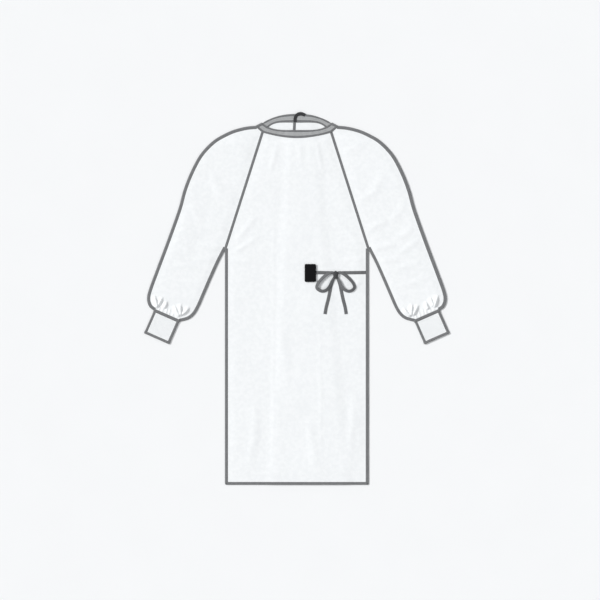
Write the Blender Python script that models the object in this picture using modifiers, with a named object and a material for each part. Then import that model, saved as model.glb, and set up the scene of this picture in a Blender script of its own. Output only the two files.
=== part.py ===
"""Surgical gown laid out flat on its back.

The gown lies front up: +X is the wearer's left, +Y runs towards the neck, +Z up from the surface.
The two back panels lie on the surface and lap at the centre, the front panel lies on them, and each
raglan sleeve is one cloth folded over at its outer edge.
"""
import bpy
import bmesh
import numpy as np

for old in list(bpy.data.objects):
    bpy.data.objects.remove(old, do_unlink=True)

MM = 0.001

# Cloth
CLOTH = 1.2 * MM
GAP = 0.3 * MM
LAYER = CLOTH + GAP
SEAM_CLEAR = 0.5 * MM

# Body
HEM_Y = -596 * MM
HALF_WIDTH = 228 * MM
ARMPIT_Y = 160 * MM
BODY_ROWS = 4
RAGLAN_ROWS = 6

# Lap of the back panels: x of each free edge at neck and hem, and the slope beside it
NECK_Y = 546 * MM
LAP_OUTER_NECK, LAP_OUTER_HEM = 40 * MM, 150 * MM
LAP_INNER_NECK, LAP_INNER_HEM = -10 * MM, -70 * MM
LAP_SLOPE = 35 * MM

# Neck: half of each seam and free edge, from the centre to the shoulder fold
SHOULDER_SEAM = np.array([128.6, 548.8]) * MM
SHOULDER_FREE = np.array([111.0, 557.8]) * MM
FRONT_SEAM_Y, FRONT_RAGLAN_X, FRONT_RISE = 515 * MM, 109 * MM, 17.5 * MM
BACK_SEAM_Y, BACK_TURN_X, BACK_DROP, BACK_POWER = 565 * MM, 95 * MM, 19 * MM, 5.0
BACK_RAGLAN_X = 104.6 * MM
FRONT_FREE_Y, FRONT_FREE_POWER = 535.5 * MM, 4.2
BACK_FREE_Y, BACK_FREE_POWER = 587 * MM, 2.4
FRONT_FREE_TURN_X, BACK_FREE_TURN_X = 96 * MM, 100 * MM
BINDING = 2.0 * MM
BINDING_FOLD_GAP = 0.6 * MM
BINDING_LIFT_FROM, BINDING_LIFT_TO = 55 * MM, 88 * MM

# Cuff: a flattened knitted tube, turned outwards from straight down
CUFF_WIDTH = 87 * MM
CUFF_LENGTH = 79 * MM
CUFF_WALL = 1.5 * MM
CUFF_HOLLOW = 1.0 * MM
CUFF_SEAM_MIDDLE = np.array([416.2, -57.3]) * MM
CUFF_TURN = np.radians(23.8)
CUFF_AXIS = np.array([np.sin(CUFF_TURN), -np.cos(CUFF_TURN)])
CUFF_ACROSS = np.array([np.cos(CUFF_TURN), np.sin(CUFF_TURN)])

# Sleeve: outer fold from the shoulder to the cuff, and underarm from the armpit to the cuff
SLEEVE_OUTER = [  # x, y in mm
    (128.6, 548.8), (162, 545.5), (200, 536), (232, 522), (262, 504.5), (290, 479), (315, 447),
    (341, 396), (361, 344), (375, 292), (392, 242), (420, 165), (449, 88), (472, 25), (477.5, -4),
    (471, -27),
]
SLEEVE_UNDERARM = [  # x, y in mm
    (252, 114), (275, 63), (297, 12), (314, -27), (329, -52), (348, -67),
]
OUTER_AT_ARMPIT = 0.602
SLEEVE_FOLD_GAP = 1.6 * MM
UPPER_RINGS, LOWER_RINGS, CUFFWARD = 13, 13, 1.5
FOLD_ANGLES = np.radians([45.0, 0.0, -45.0])
UNDER_COLUMNS = np.array([1.0, 0.7, 0.35, 0.0])

# Gathers above the cuff: place across the sleeve, length and height in mm
GATHERS = [
    (0.07, 28, 2.2),
    (0.15, 47, 3.4),
    (0.25, 52, 4.0),
    (0.36, 42, 3.4),
    (0.48, 28, 2.0),
    (0.60, 40, 3.0),
    (0.71, 47, 3.8),
    (0.81, 46, 3.8),
    (0.91, 30, 2.4),
]
GATHER_FOOT = 0.033
GATHER_INSIDE = 0.6

# Ties
TIE_WIDTH = 10.5 * MM
TIE = 1.6 * MM
TIE_Y = 81 * MM
TIE_STEP, TIGHT_STEP = 8 * MM, 6 * MM
BELT_END_INSET = 1.5 * MM
KNOT = np.array([124.0, 72.0]) * MM
KNOT_SIZE = np.array([14.0, 20.0, 9.0]) * MM
KNOT_ROUND = 3.5 * MM
LOOP = [  # x, y in mm from the middle of the knot, for the loop at +X
    (10, 10), (29, 2), (46, -13), (58, -29), (59, -42), (45, -50.5), (30, -47), (19, -35),
    (12, -20), (8, -9),
]
LOOP_TILT_KNOT, LOOP_TILT_FAR = np.radians(12.0), np.radians(36.0)
TAIL = [  # x, y in mm from the middle of the knot, for the tail at +X
    (6.5, -11), (14, -29), (18.5, -52), (24, -78), (30, -101), (34, -124),
]

# Neck tab and card
TAB_WIDTH = 10.2 * MM
TAB_PATH = [  # x, y in mm
    (-5.5, 562), (-5.5, 574), (-1.5, 583), (7, 588.5), (17, 588.5), (26, 583.5),
]
CARD_X, CARD_Y = 25.0 * MM, 51 * MM
CARD_WIDTH, CARD_LENGTH = 36.5 * MM, 57 * MM
CARD_LEAF = 0.8 * MM
CARD_HOLLOW = 2.2 * MM
CARD_GRIP = 16 * MM
CARD_ANGLES = np.radians([60.0, 30.0, 0.0, -30.0, -60.0])


def make_collection(name):
    """New collection in the scene."""
    collection = bpy.data.collections.new(name)
    bpy.context.scene.collection.children.link(collection)
    return collection


GOWN = make_collection("surgical_gown")


def make_material(name, colour, roughness):
    """Plain Principled material of one colour."""
    material = bpy.data.materials.new(name)
    material.use_nodes = True
    shader = material.node_tree.nodes["Principled BSDF"]
    shader.inputs["Base Color"].default_value = (*colour, 1.0)
    shader.inputs["Roughness"].default_value = roughness
    shader.inputs["Metallic"].default_value = 0.0
    return material


WHITE = (0.86, 0.89, 0.90)
PALE_GREY = (0.41, 0.42, 0.43)
KNIT = (0.88, 0.88, 0.86)
GREY = (0.16, 0.17, 0.18)
BLACK = (0.012, 0.012, 0.013)


def add_object(name, mesh, colour, roughness=0.9):
    """Object in the gown's collection with a material of its own."""
    thing = bpy.data.objects.new(name, mesh)
    mesh.materials.append(make_material(name + "_finish", colour, roughness))
    GOWN.objects.link(thing)
    return thing


def strip(first, second):
    """Quads between two lines of vertex numbers."""
    return np.stack([first[:-1], first[1:], second[1:], second[:-1]], axis=-1).reshape(-1, 4)


def wall(name, outer, inner, colour, tube=False):
    """Closed cloth between an outer and an inner grid of points, joined round the rim.

    Both grids are rows of columns; with tube set the columns run round and meet themselves.
    """
    rows, columns = outer.shape[:2]
    out_ids = np.arange(rows * columns).reshape(rows, columns)
    if tube:
        out_ids = np.hstack([out_ids, out_ids[:, :1]])
    in_ids = out_ids + rows * columns
    faces = [strip(out_ids[0], in_ids[0]), strip(out_ids[-1], in_ids[-1])]
    for row in range(rows - 1):
        faces.append(strip(out_ids[row], out_ids[row + 1]))
        faces.append(strip(in_ids[row], in_ids[row + 1]))
    if not tube:
        faces.append(strip(out_ids[:, 0], in_ids[:, 0]))
        faces.append(strip(out_ids[:, -1], in_ids[:, -1]))
    points = np.concatenate([outer.reshape(-1, 3), inner.reshape(-1, 3)])
    mesh = bpy.data.meshes.new(name)
    mesh.from_pydata(points.tolist(), [], np.concatenate(faces).tolist())
    work = bmesh.new()
    work.from_mesh(mesh)
    bmesh.ops.recalc_face_normals(work, faces=work.faces)
    work.to_mesh(mesh)
    work.free()
    return add_object(name, mesh, colour)


def along(points, shares):
    """Points at shares of the length of a smooth curve through the given points.

    The curve is a Catmull-Rom spline with 16 steps to a span, read by its length.
    """
    table = np.asarray(points, float)
    padded = np.vstack([2 * table[0] - table[1], table, 2 * table[-1] - table[-2]])
    step = np.linspace(0, 1, 16, endpoint=False)[:, None]
    spans = []
    for a, b, c, d in zip(padded[:-3], padded[1:-2], padded[2:-1], padded[3:]):
        linear = (c - a) * step
        square = (2 * a - 5 * b + 4 * c - d) * step ** 2
        cube = (3 * b - a - 3 * c + d) * step ** 3
        spans.append(b + 0.5 * (linear + square + cube))
    fine = np.vstack(spans + [table[-1:]])
    length = np.concatenate([[0], np.cumsum(np.linalg.norm(np.diff(fine, axis=0), axis=1))])
    wanted = np.asarray(shares) * length[-1]
    return np.stack([np.interp(wanted, length, fine[:, axis]) for axis in range(2)], axis=-1)


def curve_length(points):
    """Length of the smooth curve through the given points."""
    fine = along(points, np.linspace(0, 1, 200))
    return np.linalg.norm(np.diff(fine, axis=0), axis=1).sum()


def ramp(value, low, high):
    """0 below low, 1 above high, straight between."""
    return np.clip((value - low) / (high - low), 0, 1)


def smooth(value, low, high):
    """0 below low, 1 above high, eased between."""
    share = ramp(value, low, high)
    return share * share * (3 - 2 * share)


# Heights of the layers

def outer_free_x(y):
    """Free edge of the outer back panel, a straight line from neck to hem."""
    share = (NECK_Y - y) / (NECK_Y - HEM_Y)
    return LAP_OUTER_NECK + (LAP_OUTER_HEM - LAP_OUTER_NECK) * share


def inner_free_x(y):
    """Free edge of the inner back panel, a straight line from neck to hem."""
    share = (NECK_Y - y) / (NECK_Y - HEM_Y)
    return LAP_INNER_NECK + (LAP_INNER_HEM - LAP_INNER_NECK) * share


def lap(x, y):
    """1 where the back panels lap, falling to 0 over the slope outside each free edge."""
    from_inner = ramp(x, inner_free_x(y) - LAP_SLOPE, inner_free_x(y))
    from_outer = 1 - ramp(x, outer_free_x(y), outer_free_x(y) + LAP_SLOPE)
    return np.minimum(from_inner, from_outer)


def front_under(x, y):
    """Underside of the front cloth: one layer up, two over the lap."""
    return LAYER + LAYER * lap(x, y)


def on_front(x, y):
    """Height at which a thing rests on the front panel."""
    return front_under(x, y) + CLOTH + GAP


# Neck lines

def line_y(x, first, second):
    """Height at x of the straight line through two points."""
    return first[1] + (second[1] - first[1]) * (x - first[0]) / (second[0] - first[0])


def front_seam_y(x):
    """Front neck seam: a parabola to the raglan seam, then straight to the shoulder."""
    reach = np.abs(x)
    dip = FRONT_SEAM_Y + FRONT_RISE * (reach / FRONT_RAGLAN_X) ** 2
    corner = (FRONT_RAGLAN_X, FRONT_SEAM_Y + FRONT_RISE)
    return np.where(reach <= FRONT_RAGLAN_X, dip, line_y(reach, corner, SHOULDER_SEAM))


def back_seam_y(x):
    """Back neck seam: flat at the centre, dropping to its turn, then straight to the shoulder."""
    reach = np.abs(x)
    drop = BACK_SEAM_Y - BACK_DROP * (reach / BACK_TURN_X) ** BACK_POWER
    corner = (BACK_TURN_X, BACK_SEAM_Y - BACK_DROP)
    return np.where(reach <= BACK_TURN_X, drop, line_y(reach, corner, SHOULDER_SEAM))


def free_y(x, centre_y, power):
    """Free edge of the binding: from the centre to the shoulder by a power of x."""
    return centre_y + (SHOULDER_FREE[1] - centre_y) * (np.abs(x) / SHOULDER_FREE[0]) ** power


FRONT_CORNER = np.array([FRONT_RAGLAN_X, FRONT_SEAM_Y + FRONT_RISE])
BACK_CORNER = np.array([BACK_RAGLAN_X, float(back_seam_y(BACK_RAGLAN_X))])
ARMPIT = np.array([HALF_WIDTH, ARMPIT_Y])


# Panels

def side_x(y, corner):
    """Half width of the body at y: straight to the armpit, then the raglan seam to the corner."""
    share = ramp(y, ARMPIT_Y, corner[1])
    return HALF_WIDTH + (corner[0] - HALF_WIDTH) * share


def between(first, second, share):
    """Column that runs a share of the way from one column to another."""
    return lambda y: first(y) * (1 - share) + second(y) * share


def panel_plan(columns, neck_y):
    """Grid of a panel's points: a column follows its x(y), from the hem up to the neck seam."""
    body = np.linspace(HEM_Y, ARMPIT_Y, BODY_ROWS + 1)
    grid = []
    for column in columns:
        top = NECK_Y
        for _ in range(3):
            top = float(neck_y(column(top)))
        rows = np.concatenate([body, np.linspace(ARMPIT_Y, top, RAGLAN_ROWS + 1)[1:]])
        grid.append(np.stack([column(rows), rows], axis=-1))
    return np.stack(grid, axis=1)


def raised(plan, height):
    """Plan points with a height each."""
    return np.dstack([plan, np.broadcast_to(height, plan.shape[:2])])


def panel(name, columns, neck_y, under):
    """Panel of cloth whose underside is at under(x, y)."""
    plan = panel_plan(columns, neck_y)
    low = under(plan[..., 0], plan[..., 1])
    wall(name, raised(plan, low + CLOTH), raised(plan, low), WHITE)


def front_left(y):
    """Side edge of the front at +X."""
    return side_x(y, FRONT_CORNER)


def front_right(y):
    """Side edge of the front at -X."""
    return -side_x(y, FRONT_CORNER)


def back_left(y):
    """Side edge of the back at +X."""
    return side_x(y, BACK_CORNER)


def back_right(y):
    """Side edge of the back at -X."""
    return -side_x(y, BACK_CORNER)


def turn_left(y):
    """Column at +X that ends at the turn of the back neck seam."""
    return back_left(y) * BACK_TURN_X / BACK_RAGLAN_X


def turn_right(y):
    """Column at -X that ends at the turn of the back neck seam."""
    return -turn_left(y)


def slope_inner_foot(y):
    """Foot of the slope beside the inner panel's free edge."""
    return inner_free_x(y) - LAP_SLOPE


def slope_outer_foot(y):
    """Foot of the slope beside the outer panel's free edge."""
    return outer_free_x(y) + LAP_SLOPE


def inner_under(x, y):
    """Underside of the inner back panel: on the outer one, then down its slope to the surface."""
    return LAYER * (1 - ramp(x, outer_free_x(y), slope_outer_foot(y)))


def outer_under(x, y):
    """Underside of the outer back panel: flat on the surface."""
    return np.zeros_like(x)


def fan(first, second, count):
    """Columns in equal steps from one to the other, the second left out."""
    return [between(first, second, step / count) for step in range(count)]


def build_panels():
    """Front panel and the two back panels, with columns along the lines where the height turns."""
    front = fan(front_right, slope_inner_foot, 4) + fan(slope_inner_foot, inner_free_x, 2)
    front += fan(inner_free_x, outer_free_x, 3)
    front += fan(outer_free_x, slope_outer_foot, 2)
    front += fan(slope_outer_foot, front_left, 3) + [front_left]
    panel("front_panel", front, front_seam_y, front_under)
    outer = [back_right] + fan(turn_right, outer_free_x, 8) + [outer_free_x]
    panel("back_panel_right", outer, back_seam_y, outer_under)
    inner = fan(inner_free_x, outer_free_x, 2) + fan(outer_free_x, slope_outer_foot, 1)
    inner += fan(slope_outer_foot, turn_left, 3) + [turn_left, back_left]
    panel("back_panel_left", inner, back_seam_y, inner_under)


# Sleeves

def folded(top_plan, top_under, top_over, low_plan, fold, outward, hollow, thickness, angles):
    """Outer and inner grids of a cloth folded over.

    Each row runs along the top, half round the fold about a point half the hollow above the lower
    cloth, and back along the bottom. outward points away from the cloth at the fold.
    """
    middle = thickness + hollow / 2
    turn = np.stack([np.cos(angles), np.sin(angles)])
    faces = []
    for top, radius, low in (
        (top_over, hollow / 2 + thickness, 0.0),
        (top_under, hollow / 2, thickness),
    ):
        bend = fold[:, None] + radius * turn[0][None, :, None] * outward[:, None]
        rise = np.broadcast_to(middle + radius * turn[1], bend.shape[:2])
        faces.append(np.concatenate(
            [raised(top_plan, top), raised(bend, rise), raised(low_plan, low)], axis=1))
    return faces


def gather_columns():
    """Places across the sleeve of the gathers' feet and crests, and which gather each crest is."""
    places, crests = [0.0], [-1]
    for number, (place, _, _) in enumerate(GATHERS):
        places += [place - GATHER_FOOT, place, place + GATHER_FOOT]
        crests += [-1, number, -1]
    return np.array(places + [1.0]), np.array(crests + [-1])


def sleeve_rungs():
    """Front, back and outer ends of the sleeve's rungs, from the neck to the cuff, at +X."""
    upper = np.linspace(0, 1, UPPER_RINGS + 1)
    lower = 1 - (1 - np.linspace(0, 1, LOWER_RINGS + 1)[1:]) ** CUFFWARD
    clear = np.array([SEAM_CLEAR, 0])
    under_end = CUFF_SEAM_MIDDLE - CUFF_ACROSS * CUFF_WIDTH / 2
    outer_end = CUFF_SEAM_MIDDLE + CUFF_ACROSS * CUFF_WIDTH / 2
    armpit = ARMPIT + clear
    underarm = along(np.vstack([armpit, np.array(SLEEVE_UNDERARM) * MM, under_end]), lower)
    edges = []
    for corner in (FRONT_CORNER, BACK_CORNER):
        start = corner + clear
        raglan = start + upper[:, None] * (armpit - start)
        edges.append(np.vstack([raglan, underarm]))
    shares = np.concatenate([upper * OUTER_AT_ARMPIT, OUTER_AT_ARMPIT + lower * (1 - OUTER_AT_ARMPIT)])
    outer = along(np.vstack([np.array(SLEEVE_OUTER) * MM, outer_end]), shares)
    return edges[0], edges[1], outer


def sleeve(name, side):
    """Raglan sleeve, one cloth folded at its outer edge, gathered above the cuff."""
    front, back, outer = sleeve_rungs()
    rung = outer - front
    outward = rung / np.linalg.norm(rung, axis=1, keepdims=True)
    fold = outer - outward * (SLEEVE_FOLD_GAP / 2 + CLOTH)
    places, crests = gather_columns()
    top_plan = front[:, None] + places[None, :, None] * (fold - front)[:, None]
    low_plan = back[:, None] + UNDER_COLUMNS[None, :, None] * (fold - back)[:, None]
    lift = CLOTH + SLEEVE_FOLD_GAP - LAYER
    under = np.broadcast_to(LAYER + lift * smooth(places, 0, 1), top_plan.shape[:2]).copy()
    over = under + CLOTH
    middle = (front + outer) / 2
    from_cuff = (CUFF_SEAM_MIDDLE - middle) @ CUFF_AXIS
    for column, number in enumerate(crests):
        if number >= 0:
            _, length, height = GATHERS[number]
            ridge = height * MM * (1 - smooth(from_cuff, 0, length * MM))
            over[:, column] += ridge
            under[:, column] += ridge * GATHER_INSIDE
    outside, inside = folded(top_plan, under, over, low_plan, fold, outward,
                             SLEEVE_FOLD_GAP, CLOTH, FOLD_ANGLES)
    mirror = np.array([side, 1, 1])
    wall(name, outside * mirror, inside * mirror, WHITE)


def flat_tube(width, height, flat_steps, bend_angles):
    """Section of a flattened tube across and up: a flat top, a half circle, a flat bottom."""
    radius = height / 2
    reach = width / 2 - radius
    top = np.linspace(-reach, reach, flat_steps + 1)
    right = np.stack([reach + radius * np.cos(bend_angles), radius * np.sin(bend_angles)], axis=-1)
    upper = np.stack([top, np.full_like(top, radius)], axis=-1)
    half = np.vstack([upper, right])
    return np.vstack([half, -half])


def cuff(name, side):
    """Knitted cuff: a flattened tube along its axis, open at both ends."""
    rows = np.array([GAP, CUFF_LENGTH * 0.33, CUFF_LENGTH * 0.66, CUFF_LENGTH - MM, CUFF_LENGTH])
    narrower = np.array([0, 0, 0, 0, 1.5 * MM])
    full = 2 * CUFF_WALL + CUFF_HOLLOW
    grids = []
    for width, height in ((CUFF_WIDTH, full), (CUFF_WIDTH - 2 * CUFF_WALL, CUFF_HOLLOW)):
        grid = []
        for row, less in zip(rows, narrower):
            section = flat_tube(width - less, height, 7, FOLD_ANGLES)
            plan = CUFF_SEAM_MIDDLE + row * CUFF_AXIS + section[:, :1] * CUFF_ACROSS
            grid.append(np.column_stack([plan[:, 0] * side, plan[:, 1], section[:, 1] + full / 2]))
        grids.append(np.array(grid))
    wall(name, grids[0], grids[1], KNIT, tube=True)


# Neck binding

def binding_front(x):
    """Seam and free points and underside of the front binding at the seam's x."""
    free = np.sign(x) * np.interp(abs(x), [0, FRONT_RAGLAN_X, SHOULDER_SEAM[0]],
                                  [0, FRONT_FREE_TURN_X, SHOULDER_FREE[0]])
    seam = np.array([x, float(front_seam_y(x)) + GAP])
    lifted = BINDING + BINDING_FOLD_GAP - LAYER
    under = float(front_under(x, seam[1])) + lifted * float(
        smooth(abs(x), BINDING_LIFT_FROM, BINDING_LIFT_TO))
    return seam, np.array([free, float(free_y(free, FRONT_FREE_Y, FRONT_FREE_POWER))]), under


def binding_back(x, inner_end):
    """Seam and free points and underside of the back binding at the seam's x."""
    free = np.sign(x) * np.interp(abs(x), [0, BACK_TURN_X, SHOULDER_SEAM[0]],
                                  [0, BACK_FREE_TURN_X, SHOULDER_FREE[0]])
    seam = np.array([x, float(back_seam_y(x)) + GAP])
    under = (BINDING + GAP) * (1 - float(ramp(x, LAP_OUTER_NECK, LAP_OUTER_NECK + LAP_SLOPE)))
    height = under if inner_end else 0.0
    return seam, np.array([free, float(free_y(free, BACK_FREE_Y, BACK_FREE_POWER))]), height


def binding_station(seam, free, outside, inside):
    """Outer and inner rows of the binding, seam edge first."""
    plan = np.array([seam, free])
    return np.column_stack([plan, [outside] * 2]), np.column_stack([plan, [inside] * 2])


def shoulder_fold(side, angles):
    """Rows of the binding round its shoulder fold, from angle to angle about the fold line."""
    seam = SHOULDER_SEAM * (side, 1) + np.array([-SEAM_CLEAR * side, GAP])
    free = SHOULDER_FREE * (side, 1)
    crease = (free - seam) / np.linalg.norm(free - seam)
    out = np.array([crease[1] * side, -crease[0] * side])
    middle = BINDING + BINDING_FOLD_GAP / 2
    rows = []
    for angle in angles:
        pair = []
        for radius in (middle, BINDING_FOLD_GAP / 2):
            bent = np.array([seam, free]) + radius * np.cos(angle) * out
            pair.append(np.column_stack([bent, [middle + radius * np.sin(angle)] * 2]))
        rows.append(tuple(pair))
    return rows


def neck_binding():
    """One strip: from the outer end at centre back, round both shoulders, to the inner end on top."""
    turn = np.radians([-90, -50, -18, 18, 50, 90])
    centre = BACK_TURN_X * np.sqrt(np.linspace(0, 1, 12))
    back = np.concatenate([centre[:-1], np.linspace(BACK_TURN_X, SHOULDER_SEAM[0], 4)[:-1]])
    slope = np.array([LAP_OUTER_NECK + LAP_SLOPE])
    rows = []
    for x in np.concatenate([[LAP_OUTER_NECK, LAP_OUTER_NECK / 2], -back]):
        seam, free, under = binding_back(x, False)
        rows.append(binding_station(seam, free, under, under + BINDING))
    rows += shoulder_fold(-1, turn)
    front_x = np.linspace(-FRONT_RAGLAN_X, FRONT_RAGLAN_X, 21)
    near = (SHOULDER_SEAM[0] + FRONT_RAGLAN_X) / 2
    for x in np.concatenate([[-near], front_x, [near]]):
        seam, free, under = binding_front(x)
        rows.append(binding_station(seam, free, under + BINDING, under))
    rows += shoulder_fold(1, turn[::-1])
    for x in np.concatenate([np.sort(np.append(back, slope))[::-1], [LAP_INNER_NECK]]):
        seam, free, under = binding_back(x, True)
        rows.append(binding_station(seam, free, under, under + BINDING))
    outside, inside = (np.array(face) for face in zip(*rows))
    wall("neck_binding", outside, inside, PALE_GREY)


# Ties, bow, tab and card

def tape(name, path, base, colour, width=TIE_WIDTH, thickness=TIE, tilt=None, step=TIE_STEP):
    """Flat tape along a smooth path, its underside at base(x, y).

    tilt gives, for a share of the length, how far the tape's right-hand edge is turned up.
    """
    points = np.array(path) * MM
    count = max(3, int(round(curve_length(points) / step)) + 1)
    shares = np.linspace(0, 1, count)
    middle = along(points, shares)
    tangent = np.gradient(middle, axis=0)
    tangent /= np.linalg.norm(tangent, axis=1, keepdims=True)
    across = np.column_stack([-tangent[:, 1], tangent[:, 0]])
    angle = tilt(shares) if tilt else np.zeros(count)
    low, high = [], []
    for reach in (-width / 2, width / 2):
        plan = middle + across * (reach * np.cos(angle))[:, None]
        foot = base(plan[:, 0], plan[:, 1]) + (width / 2 - reach) * np.sin(angle)
        lean = across * (thickness * np.sin(angle))[:, None]
        low.append(np.column_stack([plan, foot]))
        high.append(np.column_stack([plan + lean, foot + thickness * np.cos(angle)]))
    wall(name, np.stack(high, axis=1), np.stack(low, axis=1), colour)


def in_mm(length):
    """A length in the tables' millimetres."""
    return length / MM


def tie_front_base(x, y):
    """The front tie rests on the front panel and rises into the card."""
    into_card = 1 - smooth(x, CARD_X + CARD_WIDTH, CARD_X + CARD_WIDTH + 20 * MM)
    return on_front(x, y) + (CARD_LEAF + GAP) * into_card


def over_ties(x, y):
    """The bow's loops rest one tape above the front panel."""
    return on_front(x, y) + TIE + GAP


def loop_tilt(shares):
    """Loops lie flat at the knot and turn up towards their far end."""
    return LOOP_TILT_KNOT + (LOOP_TILT_FAR - LOOP_TILT_KNOT) * np.sin(np.pi * shares)


def knot():
    """Knot of the bow: a rounded block on the front panel."""
    mesh = bpy.data.meshes.new("bow_knot")
    work = bmesh.new()
    bmesh.ops.create_cube(work, size=1.0)
    bmesh.ops.scale(work, vec=KNOT_SIZE, verts=work.verts)
    work.to_mesh(mesh)
    work.free()
    thing = add_object("bow_knot", mesh, GREY)
    corner = KNOT - KNOT_SIZE[:2] / 2
    base = float(on_front(corner[0], corner[1]))
    thing.location = (KNOT[0], KNOT[1], base + KNOT_SIZE[2] / 2)
    bevel = thing.modifiers.new("round", "BEVEL")
    bevel.width = KNOT_ROUND
    bevel.segments = 3
    bevel.limit_method = "NONE"


def build_ties():
    """Belt from the side seam, tie from the card, and the bow that joins them."""
    beside_knot = in_mm(KNOT_SIZE[0] / 2 + GAP)
    middle_x, middle_y = in_mm(KNOT[0]), in_mm(KNOT[1])
    tie_y = in_mm(TIE_Y)
    side_seam = in_mm(HALF_WIDTH - BELT_END_INSET)
    tape("belt_left", [(middle_x + beside_knot, tie_y), (side_seam, tie_y)], on_front, GREY)
    card_end = in_mm(CARD_X + CARD_WIDTH - CARD_GRIP)
    tape("tie_front", [(card_end, tie_y), (middle_x - beside_knot, tie_y)], tie_front_base, GREY)
    knot()
    for side, hand in ((-1, "right"), (1, "left")):
        place = [(middle_x + side * x, middle_y + y) for x, y in LOOP]
        tape("bow_loop_" + hand, place[::side], over_ties, GREY, tilt=loop_tilt, step=TIGHT_STEP)
        place = [(middle_x + side * x, middle_y + y) for x, y in TAIL]
        tape("bow_tail_" + hand, place, on_front, GREY)


def neck_tab():
    """Short strap on the inner end of the binding, hooked over its free edge."""
    height = 2 * BINDING + 2 * GAP
    tape("neck_tab", TAB_PATH, lambda x, y: np.full_like(x, height), GREY,
         width=TAB_WIDTH, thickness=CLOTH, step=TIGHT_STEP)


def belt_card():
    """Card folded at its left edge round the end of the front tie."""
    radius = CARD_LEAF + CARD_HOLLOW / 2
    base = float(on_front(CARD_X, CARD_Y))
    rows = np.array([CARD_Y, CARD_Y + CARD_LENGTH])
    fold = np.column_stack([np.full(2, CARD_X + radius), rows])
    ends = np.column_stack([np.full(2, CARD_X + CARD_WIDTH), rows])
    plan = np.stack([ends, fold], axis=1)
    under = np.full((2, 2), CARD_LEAF + CARD_HOLLOW)
    outward = np.array([[-1.0, 0.0]] * 2)
    outside, inside = folded(plan, under, under + CARD_LEAF, plan[:, ::-1], fold, outward,
                             CARD_HOLLOW, CARD_LEAF, CARD_ANGLES)
    up = np.array([0, 0, base])
    wall("belt_card", outside + up, inside + up, BLACK)


build_panels()
for hand, direction in (("right", -1), ("left", 1)):
    sleeve("sleeve_" + hand, direction)
    cuff("cuff_" + hand, direction)
neck_binding()
neck_tab()
build_ties()
belt_card()
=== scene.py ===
import bpy
import numpy as np
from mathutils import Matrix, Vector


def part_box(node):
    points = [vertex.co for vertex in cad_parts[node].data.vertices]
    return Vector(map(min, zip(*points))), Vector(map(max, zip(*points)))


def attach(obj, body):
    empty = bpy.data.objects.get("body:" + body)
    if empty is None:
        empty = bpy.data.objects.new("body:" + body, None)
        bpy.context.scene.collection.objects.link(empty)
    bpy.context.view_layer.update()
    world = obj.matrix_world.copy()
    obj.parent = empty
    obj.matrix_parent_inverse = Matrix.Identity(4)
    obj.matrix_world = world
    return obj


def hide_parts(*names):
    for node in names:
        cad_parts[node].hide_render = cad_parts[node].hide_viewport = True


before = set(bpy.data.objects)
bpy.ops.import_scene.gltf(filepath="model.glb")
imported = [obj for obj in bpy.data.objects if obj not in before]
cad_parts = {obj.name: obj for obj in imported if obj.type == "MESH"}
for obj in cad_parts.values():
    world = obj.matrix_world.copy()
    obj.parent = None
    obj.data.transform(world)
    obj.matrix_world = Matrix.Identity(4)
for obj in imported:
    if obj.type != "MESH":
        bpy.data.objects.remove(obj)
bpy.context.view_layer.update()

# Camera, floor and light
# The gown lies front up on a pale floor and is seen from straight above, as the drawing shows it.
# A soft light comes low from the left and a little from above, so that the thin cloth's relief reads.
# These sizes are in metres.
PICTURE_WIDTH = 1.92
PICTURE_MIDDLE = (0.0100, -0.0070)
EYE_HEIGHT = 12.0

eye = bpy.data.cameras.new("eye")
eye.sensor_width = 36.0
eye.lens = eye.sensor_width * EYE_HEIGHT / PICTURE_WIDTH
camera = bpy.data.objects.new("camera", eye)
camera.location = (*PICTURE_MIDDLE, EYE_HEIGHT)
bpy.context.scene.collection.objects.link(camera)
bpy.context.scene.camera = camera
bpy.context.scene.view_settings.view_transform = "Standard"


class Value:
    """A number socket of a material that takes part in sums and products like a number."""

    def __init__(self, finish, socket):
        self.finish, self.socket = finish, socket

    def maths(self, operation, *others):
        """Math node of this value and the others."""
        values = dict(enumerate((self, *others)))
        return self.finish.add("ShaderNodeMath", {"operation": operation}, values)

    def __add__(self, other):
        return self.maths("ADD", other)

    def __sub__(self, other):
        return self.maths("SUBTRACT", other)

    def __mul__(self, other):
        return self.maths("MULTIPLY", other)

    __radd__, __rmul__ = __add__, __mul__

    def wave(self, length):
        """Sine of this value, one turn to a length."""
        return (self * (2 * np.pi / length)).maths("SINE")

    def step(self, low, high):
        """0 below low, 1 above high, eased between."""
        values = {"Value": self, "From Min": low, "From Max": high}
        return self.finish.add("ShaderNodeMapRange", {"interpolation_type": "SMOOTHSTEP"}, values)


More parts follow.
